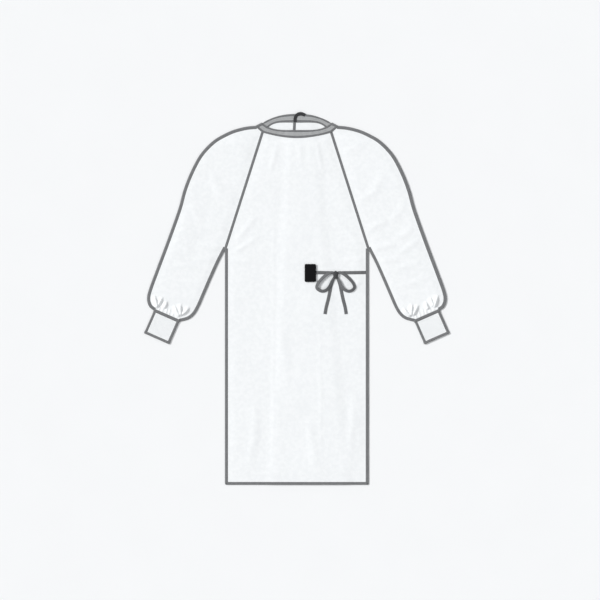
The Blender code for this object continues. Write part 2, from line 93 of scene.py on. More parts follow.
class Finish:
    """A material under construction on one Principled shader."""

    def __init__(self, name, roughness, sheen=0.0, specular=0.35):
        self.material = bpy.data.materials.new(name)
        self.material.use_nodes = True
        self.tree = self.material.node_tree
        self.shader = self.tree.nodes["Principled BSDF"]
        self.shader.inputs["Roughness"].default_value = roughness
        self.shader.inputs["Sheen Weight"].default_value = sheen
        self.shader.inputs["Sheen Roughness"].default_value = 0.5
        self.shader.inputs["Specular IOR Level"].default_value = specular

    def add(self, kind, settings=None, values=None, output=0):
        """Node of a kind: its settings first, then its sockets' values or links."""
        node = self.tree.nodes.new(kind)
        for name, value in (settings or {}).items():
            setattr(node, name, value)
        for name, value in (values or {}).items():
            self.put(node.inputs[name], value)
        return Value(self, node.outputs[output])

    def put(self, socket, value):
        """Sets a socket's value, or links a Value to it."""
        if isinstance(value, Value):
            self.tree.links.new(value.socket, socket)
        else:
            socket.default_value = value

    def grain(self):
        """The piece's own cut coordinates, u and v, in millimetres."""
        uv = self.add("ShaderNodeUVMap", {"uv_map": "grain"})
        return [self.add("ShaderNodeSeparateXYZ", None, {"Vector": uv}, axis) * 1000.0 for axis in "XY"]

    def noise(self, scale, detail=2.0, stretch=(1.0, 1.0, 1.0)):
        """Noise over the object's own place, with a scale to the metre."""
        place = self.add("ShaderNodeTexCoord", output="Object")
        mapped = self.add("ShaderNodeMapping", None, {"Vector": place, "Scale": stretch})
        return self.add("ShaderNodeTexNoise", None, {"Vector": mapped, "Scale": scale, "Detail": detail})

    def mix(self, factor, first, second):
        """Colour between two colours: the Mix node's sockets 6 and 7, and its output 2."""
        return self.add("ShaderNodeMix", {"data_type": "RGBA"}, {0: factor, 6: first, 7: second}, 2)

    def colour(self, value):
        """Links or sets the base colour."""
        self.put(self.shader.inputs["Base Color"], value)

    def roughness(self, value):
        """Links the roughness."""
        self.put(self.shader.inputs["Roughness"], value)

    def relief(self, height, distance, strength=1.0):
        """Bump of a height of 0 to 1 over a distance in metres."""
        values = {"Height": height, "Distance": distance, "Strength": strength}
        self.put(self.shader.inputs["Normal"], self.add("ShaderNodeBump", None, values))


def floor_finish():
    """Pale matt floor with a faint unevenness."""
    finish = Finish("floor", 0.9, specular=0.2)
    finish.colour(finish.mix(finish.noise(6.0), (0.86, 0.865, 0.87, 1), (0.88, 0.885, 0.89, 1)))
    return finish.material


FLOOR_HALF = 6.0
FLOOR_Z = -0.0002
floor_mesh = bpy.data.meshes.new("floor")
square = ((-1, -1), (1, -1), (1, 1), (-1, 1))
floor_corners = [(x * FLOOR_HALF, y * FLOOR_HALF, FLOOR_Z) for x, y in square]
floor_mesh.from_pydata(floor_corners, [], [(0, 1, 2, 3)])
floor_mesh.materials.append(floor_finish())
floor = bpy.data.objects.new("floor", floor_mesh)
bpy.context.scene.collection.objects.link(floor)

LIGHTS = [  # name, direction it comes from, strength and spread in degrees
    ("key", (-1.0, 0.42, 0.80), 2.75, 15.0),
    ("fill", (1.0, -0.5, 1.5), 0.42, 60.0),
]
for name, comes_from, strength, spread in LIGHTS:
    light = bpy.data.lights.new(name, "SUN")
    light.energy = strength
    light.angle = np.radians(spread)
    lamp = bpy.data.objects.new(name, light)
    heading = np.array(comes_from) / np.linalg.norm(comes_from)
    lamp.rotation_euler = (np.arccos(heading[2]), 0.0, np.arctan2(heading[1], heading[0]) + np.pi / 2)
    bpy.context.scene.collection.objects.link(lamp)

SKY, SKY_STRENGTH = (0.965, 0.982, 1.0, 1), 0.46
world = bpy.data.worlds.new("studio")
world.use_nodes = True
world.node_tree.nodes["Background"].inputs["Color"].default_value = SKY
world.node_tree.nodes["Background"].inputs["Strength"].default_value = SKY_STRENGTH
bpy.context.scene.world = world

# Back panels
# Two halves of white bonded nonwoven that lie on the surface. The wearer's right half laps outside,
# and the left half lies on it and steps down beside its free edge. Sizes are in millimetres.
MM = 0.001
LAYER = 1.5
CLOTH_FOOT, CLOTH_TOP = 0.4, 1.0

front_low, front_high = (np.array(corner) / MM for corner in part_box("front_panel"))
HEM_Y, HALF_WIDTH = front_low[1], front_high[0]
ARMPIT_Y = 160.0

NECK_Y = 546.0
LAP_OUTER_NECK, LAP_OUTER_HEM = 40.0, 150.0
LAP_INNER_NECK, LAP_INNER_HEM = -10.0, -70.0
LAP_SLOPE = 35.0

SHOULDER_SEAM = np.array([128.6, 548.8])
SHOULDER_FREE = np.array([111.0, 557.8])
BACK_SEAM_Y, BACK_TURN_X, BACK_DROP, BACK_POWER = 565.0, 95.0, 19.0, 5.0
BACK_RAGLAN_X = 104.6
PANEL_ROWS = 150


def smooth(value, low, high):
    """0 below low, 1 above high, eased between by 3t squared less 2t cubed."""
    share = np.clip((value - low) / (high - low), 0, 1)
    return share * share * (3 - 2 * share)


def on_line(value, first, second):
    """Second coordinate at a first one, on the straight line through two points."""
    return first[1] + (second[1] - first[1]) * (value - first[0]) / (second[0] - first[0])


def outer_free_x(y):
    """Free edge of the outer back half, a straight line from neck to hem."""
    return on_line(y, (NECK_Y, LAP_OUTER_NECK), (HEM_Y, LAP_OUTER_HEM))


def inner_free_x(y):
    """Free edge of the inner back half, a straight line from neck to hem."""
    return on_line(y, (NECK_Y, LAP_INNER_NECK), (HEM_Y, LAP_INNER_HEM))


def back_seam_y(x):
    """Back neck seam: flat at the centre, dropping by a power of x, then straight to the shoulder."""
    reach = np.abs(x)
    drop = BACK_SEAM_Y - BACK_DROP * (reach / BACK_TURN_X) ** BACK_POWER
    corner = (BACK_TURN_X, BACK_SEAM_Y - BACK_DROP)
    return np.where(reach <= BACK_TURN_X, drop, on_line(reach, corner, SHOULDER_SEAM))


def side_x(y, corner):
    """Half width of the body: straight to the armpit, then along the raglan seam to the corner."""
    share = np.clip((y - ARMPIT_Y) / (corner[1] - ARMPIT_Y), 0, 1)
    return HALF_WIDTH + (corner[0] - HALF_WIDTH) * share


def panel_plan(left_x, right_x, neck_y, columns, rows):
    """Grid over a panel: each row runs from the left edge to the right edge at its height.

    A column keeps its share of the width from the hem up to where it meets the neck seam.
    """
    share = np.linspace(0, 1, columns)
    top = np.full(columns, NECK_Y)
    for _ in range(4):
        top = neck_y(left_x(top) + (right_x(top) - left_x(top)) * share)
    y = HEM_Y + (top - HEM_Y) * np.linspace(0, 1, rows)[:, None]
    x = left_x(y) + (right_x(y) - left_x(y)) * share
    return np.dstack([x, y])


def raised(plan, height):
    """Plan points with a height each."""
    return np.dstack([plan, np.broadcast_to(height, plan.shape[:2])])


def cells(numbers):
    """Quads between the neighbouring rows and columns of a grid of vertex numbers."""
    here, there = numbers[:-1], numbers[1:]
    return np.stack([here[:, :-1], here[:, 1:], there[:, 1:], there[:, :-1]], axis=-1).reshape(-1, 4)


def outward(points, faces):
    """The same quads, turned round if the closed form that they make has its inside out."""
    a, b, c, d = np.moveaxis(points[faces], 1, 0)
    volume = np.sum(a * (np.cross(b, c) + np.cross(c, d)))
    return faces if volume > 0 else faces[:, ::-1]


def wall(outer, inner, grain, tube=False):
    """Closed cloth between an outer and an inner grid, joined round the rim, faces outward.

    Returns points, quads and cut coordinates. With tube set each row runs round and meets itself.
    """
    rows, columns = outer.shape[:2]
    out = np.arange(rows * columns).reshape(rows, columns)
    if tube:
        out = np.hstack([out, out[:, :1]])
    within = out + rows * columns
    rims = [(within[0], out[0]), (out[-1], within[-1])]
    if not tube:
        rims += [(out[:, 0], within[:, 0]), (within[:, -1], out[:, -1])]
    faces = np.concatenate([cells(np.stack(rim)) for rim in rims] + [cells(out), cells(within[::-1])])
    points = np.concatenate([outer.reshape(-1, 3), inner.reshape(-1, 3)])
    cut = np.asarray(grain).reshape(-1, 2)
    return points, outward(points, faces), np.concatenate([cut, cut])


def lay(name, parts, material, node=None, sharp=50.0):
    """One object from parts of points, quads and cut coordinates in millimetres.

    Edges sharper than so many degrees stay sharp. The piece replaces the solid that node names.
    """
    points, quads, cuts = zip(*parts)
    starts = np.cumsum([0] + [len(part) for part in points[:-1]])
    points = np.concatenate(points) * MM
    faces = np.concatenate([part + start for part, start in zip(quads, starts)])
    cut = np.concatenate(cuts) * MM
    mesh = bpy.data.meshes.new(name)
    mesh.vertices.add(len(points))
    mesh.vertices.foreach_set("co", points.ravel())
    mesh.loops.add(faces.size)
    mesh.loops.foreach_set("vertex_index", faces.ravel())
    mesh.polygons.add(len(faces))
    mesh.polygons.foreach_set("loop_start", np.arange(0, faces.size, 4))
    mesh.update(calc_edges=True)
    mesh.uv_layers.new(name="grain").data.foreach_set("uv", cut[faces.ravel()].ravel())
    mesh.shade_smooth()
    mesh.set_sharp_from_angle(angle=np.radians(sharp))
    mesh.materials.append(material)
    thing = bpy.data.objects.new(name, mesh)
    bpy.context.scene.collection.objects.link(thing)
    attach(thing, "root")
    if node:
        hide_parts(node)
    return thing


NONWOVEN_TONES = [  # thin cloth, thick cloth and bond points
    (0.848, 0.863, 0.871), (0.895, 0.907, 0.913), (0.783, 0.803, 0.819),
]
BOND_PITCH = 3.4


def cloth_finish(name, shade):
    """Bonded nonwoven in a shade from black 0 to white 1.

    It has staggered bond points, a tangle of fibres and a cloudy thickness.
    """
    finish = Finish(name, 0.8, sheen=0.12 * shade)
    thin, thick, bond = ((*(np.array(tone) * shade), 1) for tone in NONWOVEN_TONES)
    u, v = finish.grain()
    points = (u.wave(BOND_PITCH) * v.wave(BOND_PITCH)).maths("ABSOLUTE").step(0.45, 0.85)
    fibres = finish.noise(1500.0, 3.0, (1.0, 0.35, 1.0))
    cloud = finish.noise(85.0, 3.0).step(0.3, 0.72)
    finish.colour(finish.mix(points * 0.35, finish.mix(cloud, thin, thick), bond))
    finish.roughness(0.72 + cloud * 0.12 - points * 0.12)
    finish.relief(fibres * 0.45 - points * 0.55 + cloud * 0.25, 0.0004, 0.45)
    return finish.material


CLOTH = cloth_finish("nonwoven", 1.0)
BACK_CORNER = np.array([BACK_RAGLAN_X, float(back_seam_y(BACK_RAGLAN_X))])


def on_surface(x, y):
    """Floor of what lies on the surface itself."""
    return np.zeros_like(x)


def inner_foot(x, y):
    """Floor of the inner back half: one layer up over the outer half, then down to the surface."""
    return LAYER * (1 - smooth(x, outer_free_x(y), outer_free_x(y) + LAP_SLOPE))


def cloth_panel(name, node, plan, foot, relief=on_surface):
    """Thin panel over a floor height, with a relief that both its faces follow."""
    x, y = np.moveaxis(plan, 2, 0)
    base = foot(x, y) + relief(x, y)
    made = wall(raised(plan, base + CLOTH_TOP), raised(plan, base + CLOTH_FOOT), plan)
    return lay(name, [made], CLOTH, node)


outer_plan = panel_plan(lambda y: -side_x(y, BACK_CORNER), outer_free_x, back_seam_y, 64, PANEL_ROWS)
back_outer = cloth_panel("back_right_cloth", "back_panel_right", outer_plan, on_surface)
inner_plan = panel_plan(inner_free_x, lambda y: side_x(y, BACK_CORNER), back_seam_y, 56, PANEL_ROWS)
back_inner = cloth_panel("back_left_cloth", "back_panel_left", inner_plan, inner_foot)

# Front panel
# One panel of the same cloth over the lapped backs, so it is one layer up and two over the lap.
# It keeps faint folds from its packing and soft drags beside the armpits and the belt.
FRONT_SEAM_Y, FRONT_RAGLAN_X, FRONT_RISE = 515.0, 109.0, 17.5
FRONT_CORNER = np.array([FRONT_RAGLAN_X, FRONT_SEAM_Y + FRONT_RISE])

WAVES = [  # length and heading of a long swell, its start and its height
    (430, 80, 0.4, 0.55),
    (300, 15, 1.9, 0.40),
    (215, 122, 3.1, 0.35),
    (160, 44, 0.9, 0.25),
    (120, 165, 5.2, 0.18),
]
FRONT_CREASES = [  # from x, y to x, y, half width and height
    (-77, -560, -74, 330, 5.0, 0.50),
    (78, -575, 73, -60, 5.0, 0.45),
    (-215, -398, 218, -402, 5.0, 0.50),
    (-210, -199, 212, -196, 5.0, 0.42),
    (-214, 3, 120, -2, 5.0, 0.45),
    (-200, 204, 196, 199, 5.0, 0.45),
    (-150, 401, 148, 399, 5.0, 0.35),
    (206, 140, 128, 182, 8.0, 1.6),
    (210, 118, 150, 124, 7.0, 1.1),
    (198, 176, 120, 250, 9.0, 1.3),
    (-208, 142, -122, 188, 8.0, 1.5),
    (-212, 120, -140, 112, 7.0, 1.2),
    (-196, 182, -126, 262, 9.0, 1.2),
    (212, 60, 168, 18, 7.0, 1.1),
    (214, 98, 176, 112, 6.0, 0.8),
    (-62, 500, -84, 404, 8.0, 1.0),
    (58, 502, 88, 396, 8.0, 1.1),
    (8, 498, 14, 420, 9.0, 0.7),
    (-150, -560, -128, -330, 14.0, 1.3),
    (60, -570, 44, -380, 15.0, 1.2),
    (168, -565, 182, -300, 13.0, 1.2),
    (-30, -300, -52, -80, 16.0, 0.9),
]


def front_foot(x, y):
    """Floor of what lies on the backs: one layer up, two over the lap, eased beside its edges."""
    from_inner = smooth(x, inner_free_x(y) - LAP_SLOPE, inner_free_x(y))
    from_outer = 1 - smooth(x, outer_free_x(y), outer_free_x(y) + LAP_SLOPE)
    return LAYER + LAYER * np.minimum(from_inner, from_outer)


def swell(x, y):
    """Sum of long sine waves, each with its length, heading, start and height, never below 0."""
    total = 0.0
    for length, heading, start, height in WAVES:
        along_wave = x * np.cos(np.radians(heading)) + y * np.sin(np.radians(heading))
        total = total + height * (0.5 + 0.5 * np.sin(along_wave * 2 * np.pi / length + start))
    return total


def from_line(x, y, x0, y0, x1, y1):
    """Share along a straight line, distance off it, and the line's length."""
    run = np.array([x1 - x0, y1 - y0], float)
    length = np.hypot(*run)
    share = ((x - x0) * run[0] + (y - y0) * run[1]) / length ** 2
    return share, ((x - x0) * run[1] - (y - y0) * run[0]) / length, length


def creases(x, y, table):
    """Soft ridges along straight lines: a bell across, and a half sine to a low power along."""
    total = 0.0
    for x0, y0, x1, y1, width, height in table:
        share, off, length = from_line(x, y, x0, y0, x1, y1)
        wander = 0.25 * width * np.sin(share * length / 31.0 + x0)
        fade = np.sin(np.pi * np.clip(share, 0, 1)) ** 0.6
        total = total + height * fade * np.exp(-((off + wander) / width) ** 2)
    return total


def front_seam_y(x):
    """Front neck seam: a parabola to the raglan seam, then straight to the shoulder."""
    reach = np.abs(x)
    dip = FRONT_SEAM_Y + FRONT_RISE * (reach / FRONT_RAGLAN_X) ** 2
    return np.where(reach <= FRONT_RAGLAN_X, dip, on_line(reach, FRONT_CORNER, SHOULDER_SEAM))


def front_relief(x, y):
    """Swells and creases of the front, which die out within 34 mm of its seams and its hem."""
    inside = side_x(y, FRONT_CORNER) - np.abs(x)
    inside = np.minimum(inside, np.minimum(y - HEM_Y, front_seam_y(x) - y))
    return smooth(inside, 4.0, 34.0) * (swell(x, y) + creases(x, y, FRONT_CREASES))


def front_top(x, y):
    """Height of the top of the front panel."""
    return front_foot(x, y) + CLOTH_TOP + front_relief(x, y)


front_plan = panel_plan(
    lambda y: -side_x(y, FRONT_CORNER), lambda y: side_x(y, FRONT_CORNER), front_seam_y, 100, 250)
front = cloth_panel("front_cloth", "front_panel", front_plan, front_foot, front_relief)

# Sleeves
# Each raglan sleeve is one cloth folded over at its outer edge: a top wall, a round fold and a wall
# below. It narrows in a round bag to the cuff, where it is gathered.
HANDS = (("right", -1), ("left", 1))
SEAM_CLEAR = np.array([0.5, 0])
ARMPIT = np.array([HALF_WIDTH, ARMPIT_Y])
CUFF_WIDTH, CUFF_LENGTH = 87.0, 79.0
CUFF_SEAM_MIDDLE = np.array([416.2, -57.3])
CUFF_TURN = np.radians(23.8)
CUFF_AXIS = np.array([np.sin(CUFF_TURN), -np.cos(CUFF_TURN)])
CUFF_ACROSS = np.array([np.cos(CUFF_TURN), np.sin(CUFF_TURN)])

SLEEVE_OUTER = [  # x, y
    (128.6, 548.8), (162, 545.5), (200, 536), (232, 522), (262, 504.5), (290, 479), (315, 447),
    (341, 396), (361, 344), (375, 292), (392, 242), (420, 165), (449, 88), (472, 25), (477.5, -4),
    (471, -27),
]
SLEEVE_UNDERARM = [  # x, y
    (252, 114), (275, 63), (297, 12), (314, -27), (329, -52), (348, -67),
]
OUTER_AT_ARMPIT = 0.602
UPPER_RUNGS, LOWER_RUNGS, CUFFWARD = 70, 150, 1.9
RIPPLE, RIPPLE_HEIGHT = 5.8, 0.3
GENTLE, STEEP = 1.9, 0.85
FOLD_MIDDLE, FOLD_RADIUS, FOLD_HOLLOW_RADIUS = 2.0, 1.6, 1.0
FOLD_ANGLES = np.radians(np.linspace(78, -78, 9))

GATHERS = [  # foot x, y to tip x, y, reach and height of each gather, on the sleeve at +X
    (443.5, -31, 453.0, 8, 4.2, 7.6),
    (440.5, -26, 428.5, 1, 3.9, 6.9),
    (424.5, -35, 412.0, -12, 3.9, 6.4),
    (371.5, -58, 392.0, -24, 4.0, 6.9),
    (369.3, -58, 369.3, -19, 4.2, 7.6),
    (367.0, -57, 342.0, -32, 3.9, 6.9),
    (453.0, -42, 448.0, -22, 1.9, 1.0),
    (441.5, -46, 438.0, -30, 1.9, 1.1),
    (431.0, -50, 426.0, -28, 2.0, 1.2),
    (419.0, -55, 411.0, -26, 2.1, 1.4),
    (408.0, -60, 401.0, -30, 2.0, 1.2),
    (397.0, -65, 391.0, -40, 2.0, 1.2),
    (387.0, -69, 379.0, -48, 1.9, 1.2),
    (379.0, -73, 371.0, -58, 1.9, 1.0),
]
SLEEVE_CREASES = [  # from x, y to x, y, half width and height, on the sleeve at +X
    (214, 208, 288, 246, 9.0, 1.5),
    (228, 150, 318, 176, 10.0, 1.6),
    (246, 118, 330, 122, 9.0, 1.2),
    (372, 222, 318, 190, 10.0, 1.3),
    (392, 190, 330, 138, 9.0, 1.1),
    (196, 300, 268, 352, 11.0, 1.2),
    (150, 460, 222, 500, 10.0, 0.9),
    (300, 90, 396, 110, 9.0, 1.0),
    (330, 40, 420, 64, 9.0, 1.0),
    (282, 402, 232, 330, 13.0, 1.0),
    (340, 300, 300, 240, 12.0, 1.0),
]


def run_of(path):
    """Length run along a path at each of its points."""
    return np.concatenate([[0], np.cumsum(np.linalg.norm(np.diff(path, axis=0), axis=1))])


def at_run(wanted, run, values):
    """Values along a path, read off at the wanted lengths run."""
    return np.stack([np.interp(wanted, run, column) for column in values.T], axis=-1)


def along(points, shares):
    """Points at shares of the length of a Catmull-Rom curve through the given points."""
    table = np.asarray(points, float)
    padded = np.vstack([2 * table[0] - table[1], table, 2 * table[-1] - table[-2]])
    step = np.linspace(0, 1, 24, endpoint=False)[:, None]
    a, b, c, d = (padded[start:len(padded) - 3 + start, None] for start in range(4))
    spans = b + 0.5 * ((c - a) * step + (2 * a - 5 * b + 4 * c - d) * step ** 2
                       + (3 * b - a - 3 * c + d) * step ** 3)
    fine = np.vstack([spans.reshape(-1, 2), table[-1:]])
    run = run_of(fine)
    return at_run(np.asarray(shares) * run[-1], run, fine)


def sleeve_rungs():
    """Front, back and outer ends of the rungs from the neck to the cuff, at +X."""
    upper = np.linspace(0, 1, UPPER_RUNGS)
    lower = 1 - (1 - np.linspace(0, 1, LOWER_RUNGS + 1)[1:]) ** CUFFWARD
    armpit = ARMPIT + SEAM_CLEAR
    half_cuff = CUFF_ACROSS * CUFF_WIDTH / 2
    underarm = along([armpit, *SLEEVE_UNDERARM, CUFF_SEAM_MIDDLE - half_cuff], lower)
    edges = []
    for corner in (FRONT_CORNER, BACK_CORNER):
        start = corner + SEAM_CLEAR
        edges.append(np.vstack([start + upper[:, None] * (armpit - start), underarm]))
    shares = np.concatenate([upper * OUTER_AT_ARMPIT, OUTER_AT_ARMPIT + lower * (1 - OUTER_AT_ARMPIT)])
    return *edges, along([*SLEEVE_OUTER, CUFF_SEAM_MIDDLE + half_cuff], shares)


def gathers(x, y, side):
    """Folds above the cuff: each rises at once from its foot and dies out to its tip.

    Across, a fold climbs gently from the wearer's right and drops steeply: two half bells, of a wide
    and a narrow reach, meet at its crest. Where folds meet, the highest shows.
    """
    total = 0.0
    for x0, y0, x1, y1, reach, height in GATHERS:
        share, off, _ = from_line(x, y, x0, y0, x1, y1)
        off = side * (off - 0.8 * np.sin(share * 4.1 + x0)) + 0.5 * reach
        bell = np.exp(-(off / (np.where(off > 0, STEEP, GENTLE) * reach)) ** 2)
        fade = smooth(share, -0.10, 0.18) * (1 - smooth(share, 0.55, 1.12))
        total = np.maximum(total, height * fade * bell)
    return total


FRONT_EDGE, BACK_EDGE, OUTER_EDGE = sleeve_rungs()
OUTWARD = OUTER_EDGE - FRONT_EDGE
OUTWARD = OUTWARD / np.linalg.norm(OUTWARD, axis=1, keepdims=True)
FOLD_LINE = OUTER_EDGE - OUTWARD * FOLD_MIDDLE


def edge_distance(plan, line):
    """Distance from each plan point to the nearest point of a line's segments."""
    start, run = line[:-1], np.diff(line, axis=0)
    away = plan[:, :, None] - start
    share = np.clip((away * run).sum(axis=-1) / np.maximum((run ** 2).sum(axis=-1), 1e-9), 0, 1)
    return np.linalg.norm(away - share[..., None] * run, axis=-1).min(axis=-1)


def sleeve_under(plan, side):
    """Height of the underside of a sleeve's top wall over plan points at +X.

    It climbs from the underarm to the fold, and carries swells, creases and the gathers.
    """
    near, far = edge_distance(plan, FRONT_EDGE), edge_distance(plan, FOLD_LINE)
    edge_space = np.minimum(near, far)
    from_cuff = (CUFF_SEAM_MIDDLE - plan) @ CUFF_AXIS
    x, y = plan[..., 0], plan[..., 1]
    from_neck = SHOULDER_SEAM[1] - y
    calm = smooth(edge_space, 3.0, 30.0) * smooth(from_cuff, 10.0, 60.0) * smooth(from_neck, 3.8, 48.8)
    relief = calm * (swell(x * side, y) + creases(x, y, SLEEVE_CREASES))
    ripple = RIPPLE_HEIGHT * (1 + np.sin((plan - CUFF_SEAM_MIDDLE) @ CUFF_ACROSS * 2 * np.pi / RIPPLE))
    gathered = ripple * (1 - smooth(from_cuff, 3, 16)) + gathers(x, y, side)
    relief = relief + smooth(edge_space, 1.5, 8.0) * smooth(from_cuff, 1.0, 8.0) * gathered
    lift = FOLD_MIDDLE + FOLD_HOLLOW_RADIUS - LAYER - CLOTH_FOOT
    return LAYER + CLOTH_FOOT + lift * smooth(near / (near + far), 0, 1) + relief


def sleeve(name, node, side):
    """Top wall, round fold and lower wall of one sleeve, as one folded cloth."""
    to_fold = np.linspace(0, 1, 122)[:, None] * (FOLD_LINE - FRONT_EDGE)[:, None]
    top_plan = FRONT_EDGE[:, None] + to_fold
    from_fold = np.linspace(1, 0, 22)[:, None] * (FOLD_LINE - BACK_EDGE)[:, None]
    low_plan = BACK_EDGE[:, None] + from_fold
    under = sleeve_under(top_plan, side)
    faces = []
    for top, radius, low in (
        (under + CLOTH_TOP - CLOTH_FOOT, FOLD_RADIUS, CLOTH_FOOT),
        (under, FOLD_HOLLOW_RADIUS, CLOTH_TOP),
    ):
        bend = FOLD_LINE[:, None] + radius * np.cos(FOLD_ANGLES)[:, None] * OUTWARD[:, None]
        rise = FOLD_MIDDLE + radius * np.sin(FOLD_ANGLES)
        faces.append(np.concatenate([raised(top_plan, top), raised(bend, rise), raised(low_plan, low)], 1))
    grain = faces[0][..., :2] @ np.column_stack([CUFF_ACROSS, -CUFF_AXIS])
    mirror = np.array([side, 1, 1])
    return lay(name, [wall(faces[0] * mirror, faces[1] * mirror, grain)], CLOTH, node)


sleeves = [sleeve("sleeve_cloth_" + hand, "sleeve_" + hand, side) for hand, side in HANDS]

# Cuffs
# Flattened tubes of white rib knit. The ribs run from the sleeve to the open end, and the knit
# stands open there a little.
RIB = 2.3
RIB_HEIGHT = 0.42
CUFF_WALL = 0.8
CUFF_CLEAR, CUFF_FLATTER = 3.0, 0.8
CUFF_POINTS = 480
SURFACE = 0.02


def knit_finish():
    """Rib knit: rows of small V stitches along each rib."""
    finish = Finish("rib_knit", 0.9, sheen=0.25, specular=0.25)
    u, v = finish.grain()
    lean = (u.wave(RIB * 0.5)).maths("ABSOLUTE")
    stitch = (v + lean * 0.55).wave(1.3)
    fluff = finish.noise(1300.0, 2.0)
    finish.colour(finish.mix(stitch.step(-0.9, 0.6), (0.89, 0.905, 0.913, 1), (0.94, 0.955, 0.963, 1)))
    finish.relief(stitch * 0.5 + fluff * 0.5, 0.0005, 0.6)
    return finish.material


KNIT = knit_finish()


def tube_section(width, height, count):
    """Flattened tube across and up with its outward normals, at even steps of its length.

    Two straight runs and two half circles, begun in the middle of the underside.
    """
    radius = height / 2
    flat = width - height
    total = 2 * flat + 2 * np.pi * radius
    run = np.linspace(0, total, count, endpoint=False)
    first = np.clip((run - flat / 2) / radius, 0, np.pi)
    second = np.clip((run - flat * 1.5 - np.pi * radius) / radius, 0, np.pi)
    angle = np.pi / 2 - first - second
    moved_right = np.minimum(run, flat / 2)
    moved_left = np.clip(run - flat / 2 - np.pi * radius, 0, flat)
    moved_back = np.clip(run - flat * 1.5 - 2 * np.pi * radius, 0, flat / 2)
    middle = moved_right - moved_left + moved_back
    normal = np.stack([np.cos(angle), np.sin(angle)], axis=-1)
    section = np.stack([middle, np.zeros_like(middle)], axis=-1) + radius * normal
    return np.roll(section, count // 2, axis=0), np.roll(normal, count // 2, axis=0), run


def cuff_place(section, row, side):
    """Section points set at a distance along the cuff's axis, flat where they lie on the surface."""
    plan = CUFF_SEAM_MIDDLE + row * CUFF_AXIS + section[:, :1] * CUFF_ACROSS
    height = np.maximum(section[:, 1] + FOLD_MIDDLE, SURFACE)
    return np.column_stack([plan[:, 0] * side, plan[:, 1], height])


def cuff(name, node, side):
    """Knitted tube whose outer face is raised into ribs; rows run from the seam to the open end.

    It is a little wider at the seam, narrower in the middle and thicker at the open end.
    """
    rows = np.concatenate([
        np.linspace(0.3, 9, 6), np.linspace(13, 70, 13), np.linspace(74, CUFF_LENGTH, 7)])
    shares = np.arange(CUFF_POINTS) / CUFF_POINTS
    outer, inner, grain = [], [], []
    for row in rows:
        pull = 1.6 * np.exp(-row / 9.0) - 0.9 * np.exp(-((row - 42) / 26) ** 2)
        mouth = 0.35 * smooth(row, CUFF_LENGTH - 8, CUFF_LENGTH)
        section, normal, run = tube_section(
            CUFF_WIDTH - CUFF_CLEAR + pull, 2 * FOLD_RADIUS - CUFF_FLATTER + mouth, CUFF_POINTS)
        ribs = round(run[-1] / RIB)
        closed = 1 - 0.7 * smooth(row, CUFF_LENGTH - 3, CUFF_LENGTH)
        rib = RIB_HEIGHT * closed * np.abs(np.cos(np.pi * ribs * shares)) ** 0.8
        outer.append(cuff_place(section + normal * rib[:, None], row, side))
        inner.append(cuff_place(section - normal * CUFF_WALL, row, side))
        grain.append(np.column_stack([RIB * ribs * shares, np.full(CUFF_POINTS, row)]))
    made = wall(np.array(outer), np.array(inner), np.array(grain), tube=True)
    return lay(name, [made], KNIT, node, 80.0)


cuffs = [cuff("cuff_knit_" + hand, "cuff_" + hand, side) for hand, side in HANDS]

# Neck binding
# One folded strip of pale grey cloth, sewn to the neck. It lies flat behind, turns over at each
# shoulder and lies on the front; its ends lap at the centre back, the inner end on top.
FRONT_FREE_Y, FRONT_FREE_POWER = 535.5, 4.2
BACK_FREE_Y, BACK_FREE_POWER = 587.0, 2.4
FRONT_FREE_TURN_X, BACK_FREE_TURN_X = 96.0, 100.0
BAND_CUT, BAND_LIFT, LIFT_FROM, LIFT_TO = 20.0, 1.1, 55.0, 88.0
BAND_FOOT, BAND_TOP, BAND_OVER_LAP = 0.4, 1.6, 2.3
BAND_FOLD_MIDDLE = 2.3
BAND_FOLD_RADIUS, BAND_HOLLOW_RADIUS = 1.9, 0.7


def band_ends(x, front):
    """Seam and free ends of the binding's rungs at each seam x, on the front or behind.

    The free edge goes from the centre to the shoulder by a power of x.
    """
    seam_y, turn_x, turn_free_x, centre_y, power = (
        (front_seam_y, FRONT_RAGLAN_X, FRONT_FREE_TURN_X, FRONT_FREE_Y, FRONT_FREE_POWER) if front
        else (back_seam_y, BACK_TURN_X, BACK_FREE_TURN_X, BACK_FREE_Y, BACK_FREE_POWER))
    knots = [0, turn_x, SHOULDER_SEAM[0]]
    free_x = np.sign(x) * np.interp(np.abs(x), knots, [0, turn_free_x, SHOULDER_FREE[0]])
    free_y = centre_y + (SHOULDER_FREE[1] - centre_y) * (np.abs(free_x) / SHOULDER_FREE[0]) ** power
    return np.column_stack([x, seam_y(x)]), np.column_stack([free_x, free_y])


def lying_rungs(x, foot, front):
    """Ends, outer and inner heights and no lean, where the binding lies flat on a floor height."""
    heights = (BAND_TOP, BAND_FOOT) if front else (BAND_FOOT, BAND_TOP)
    return *band_ends(x, front), foot + heights[0], foot + heights[1], np.zeros((len(x), 4))


def turning_rungs(hand, angles):
    """The same where the binding turns over a shoulder: half a turn round its crease, leaning out."""
    seam, free = SHOULDER_SEAM * (hand, 1), SHOULDER_FREE * (hand, 1)
    crease = (free - seam) / np.linalg.norm(free - seam)
    reach = np.cos(angles)[:, None] * np.array([crease[1], -crease[0]]) * hand
    ends = [np.repeat(end[None], len(angles), 0) for end in (seam, free)]
    radii = (BAND_FOLD_RADIUS, BAND_HOLLOW_RADIUS)
    heights = [BAND_FOLD_MIDDLE + radius * np.sin(angles) for radius in radii]
    return *ends, *heights, np.hstack([radius * reach for radius in radii])


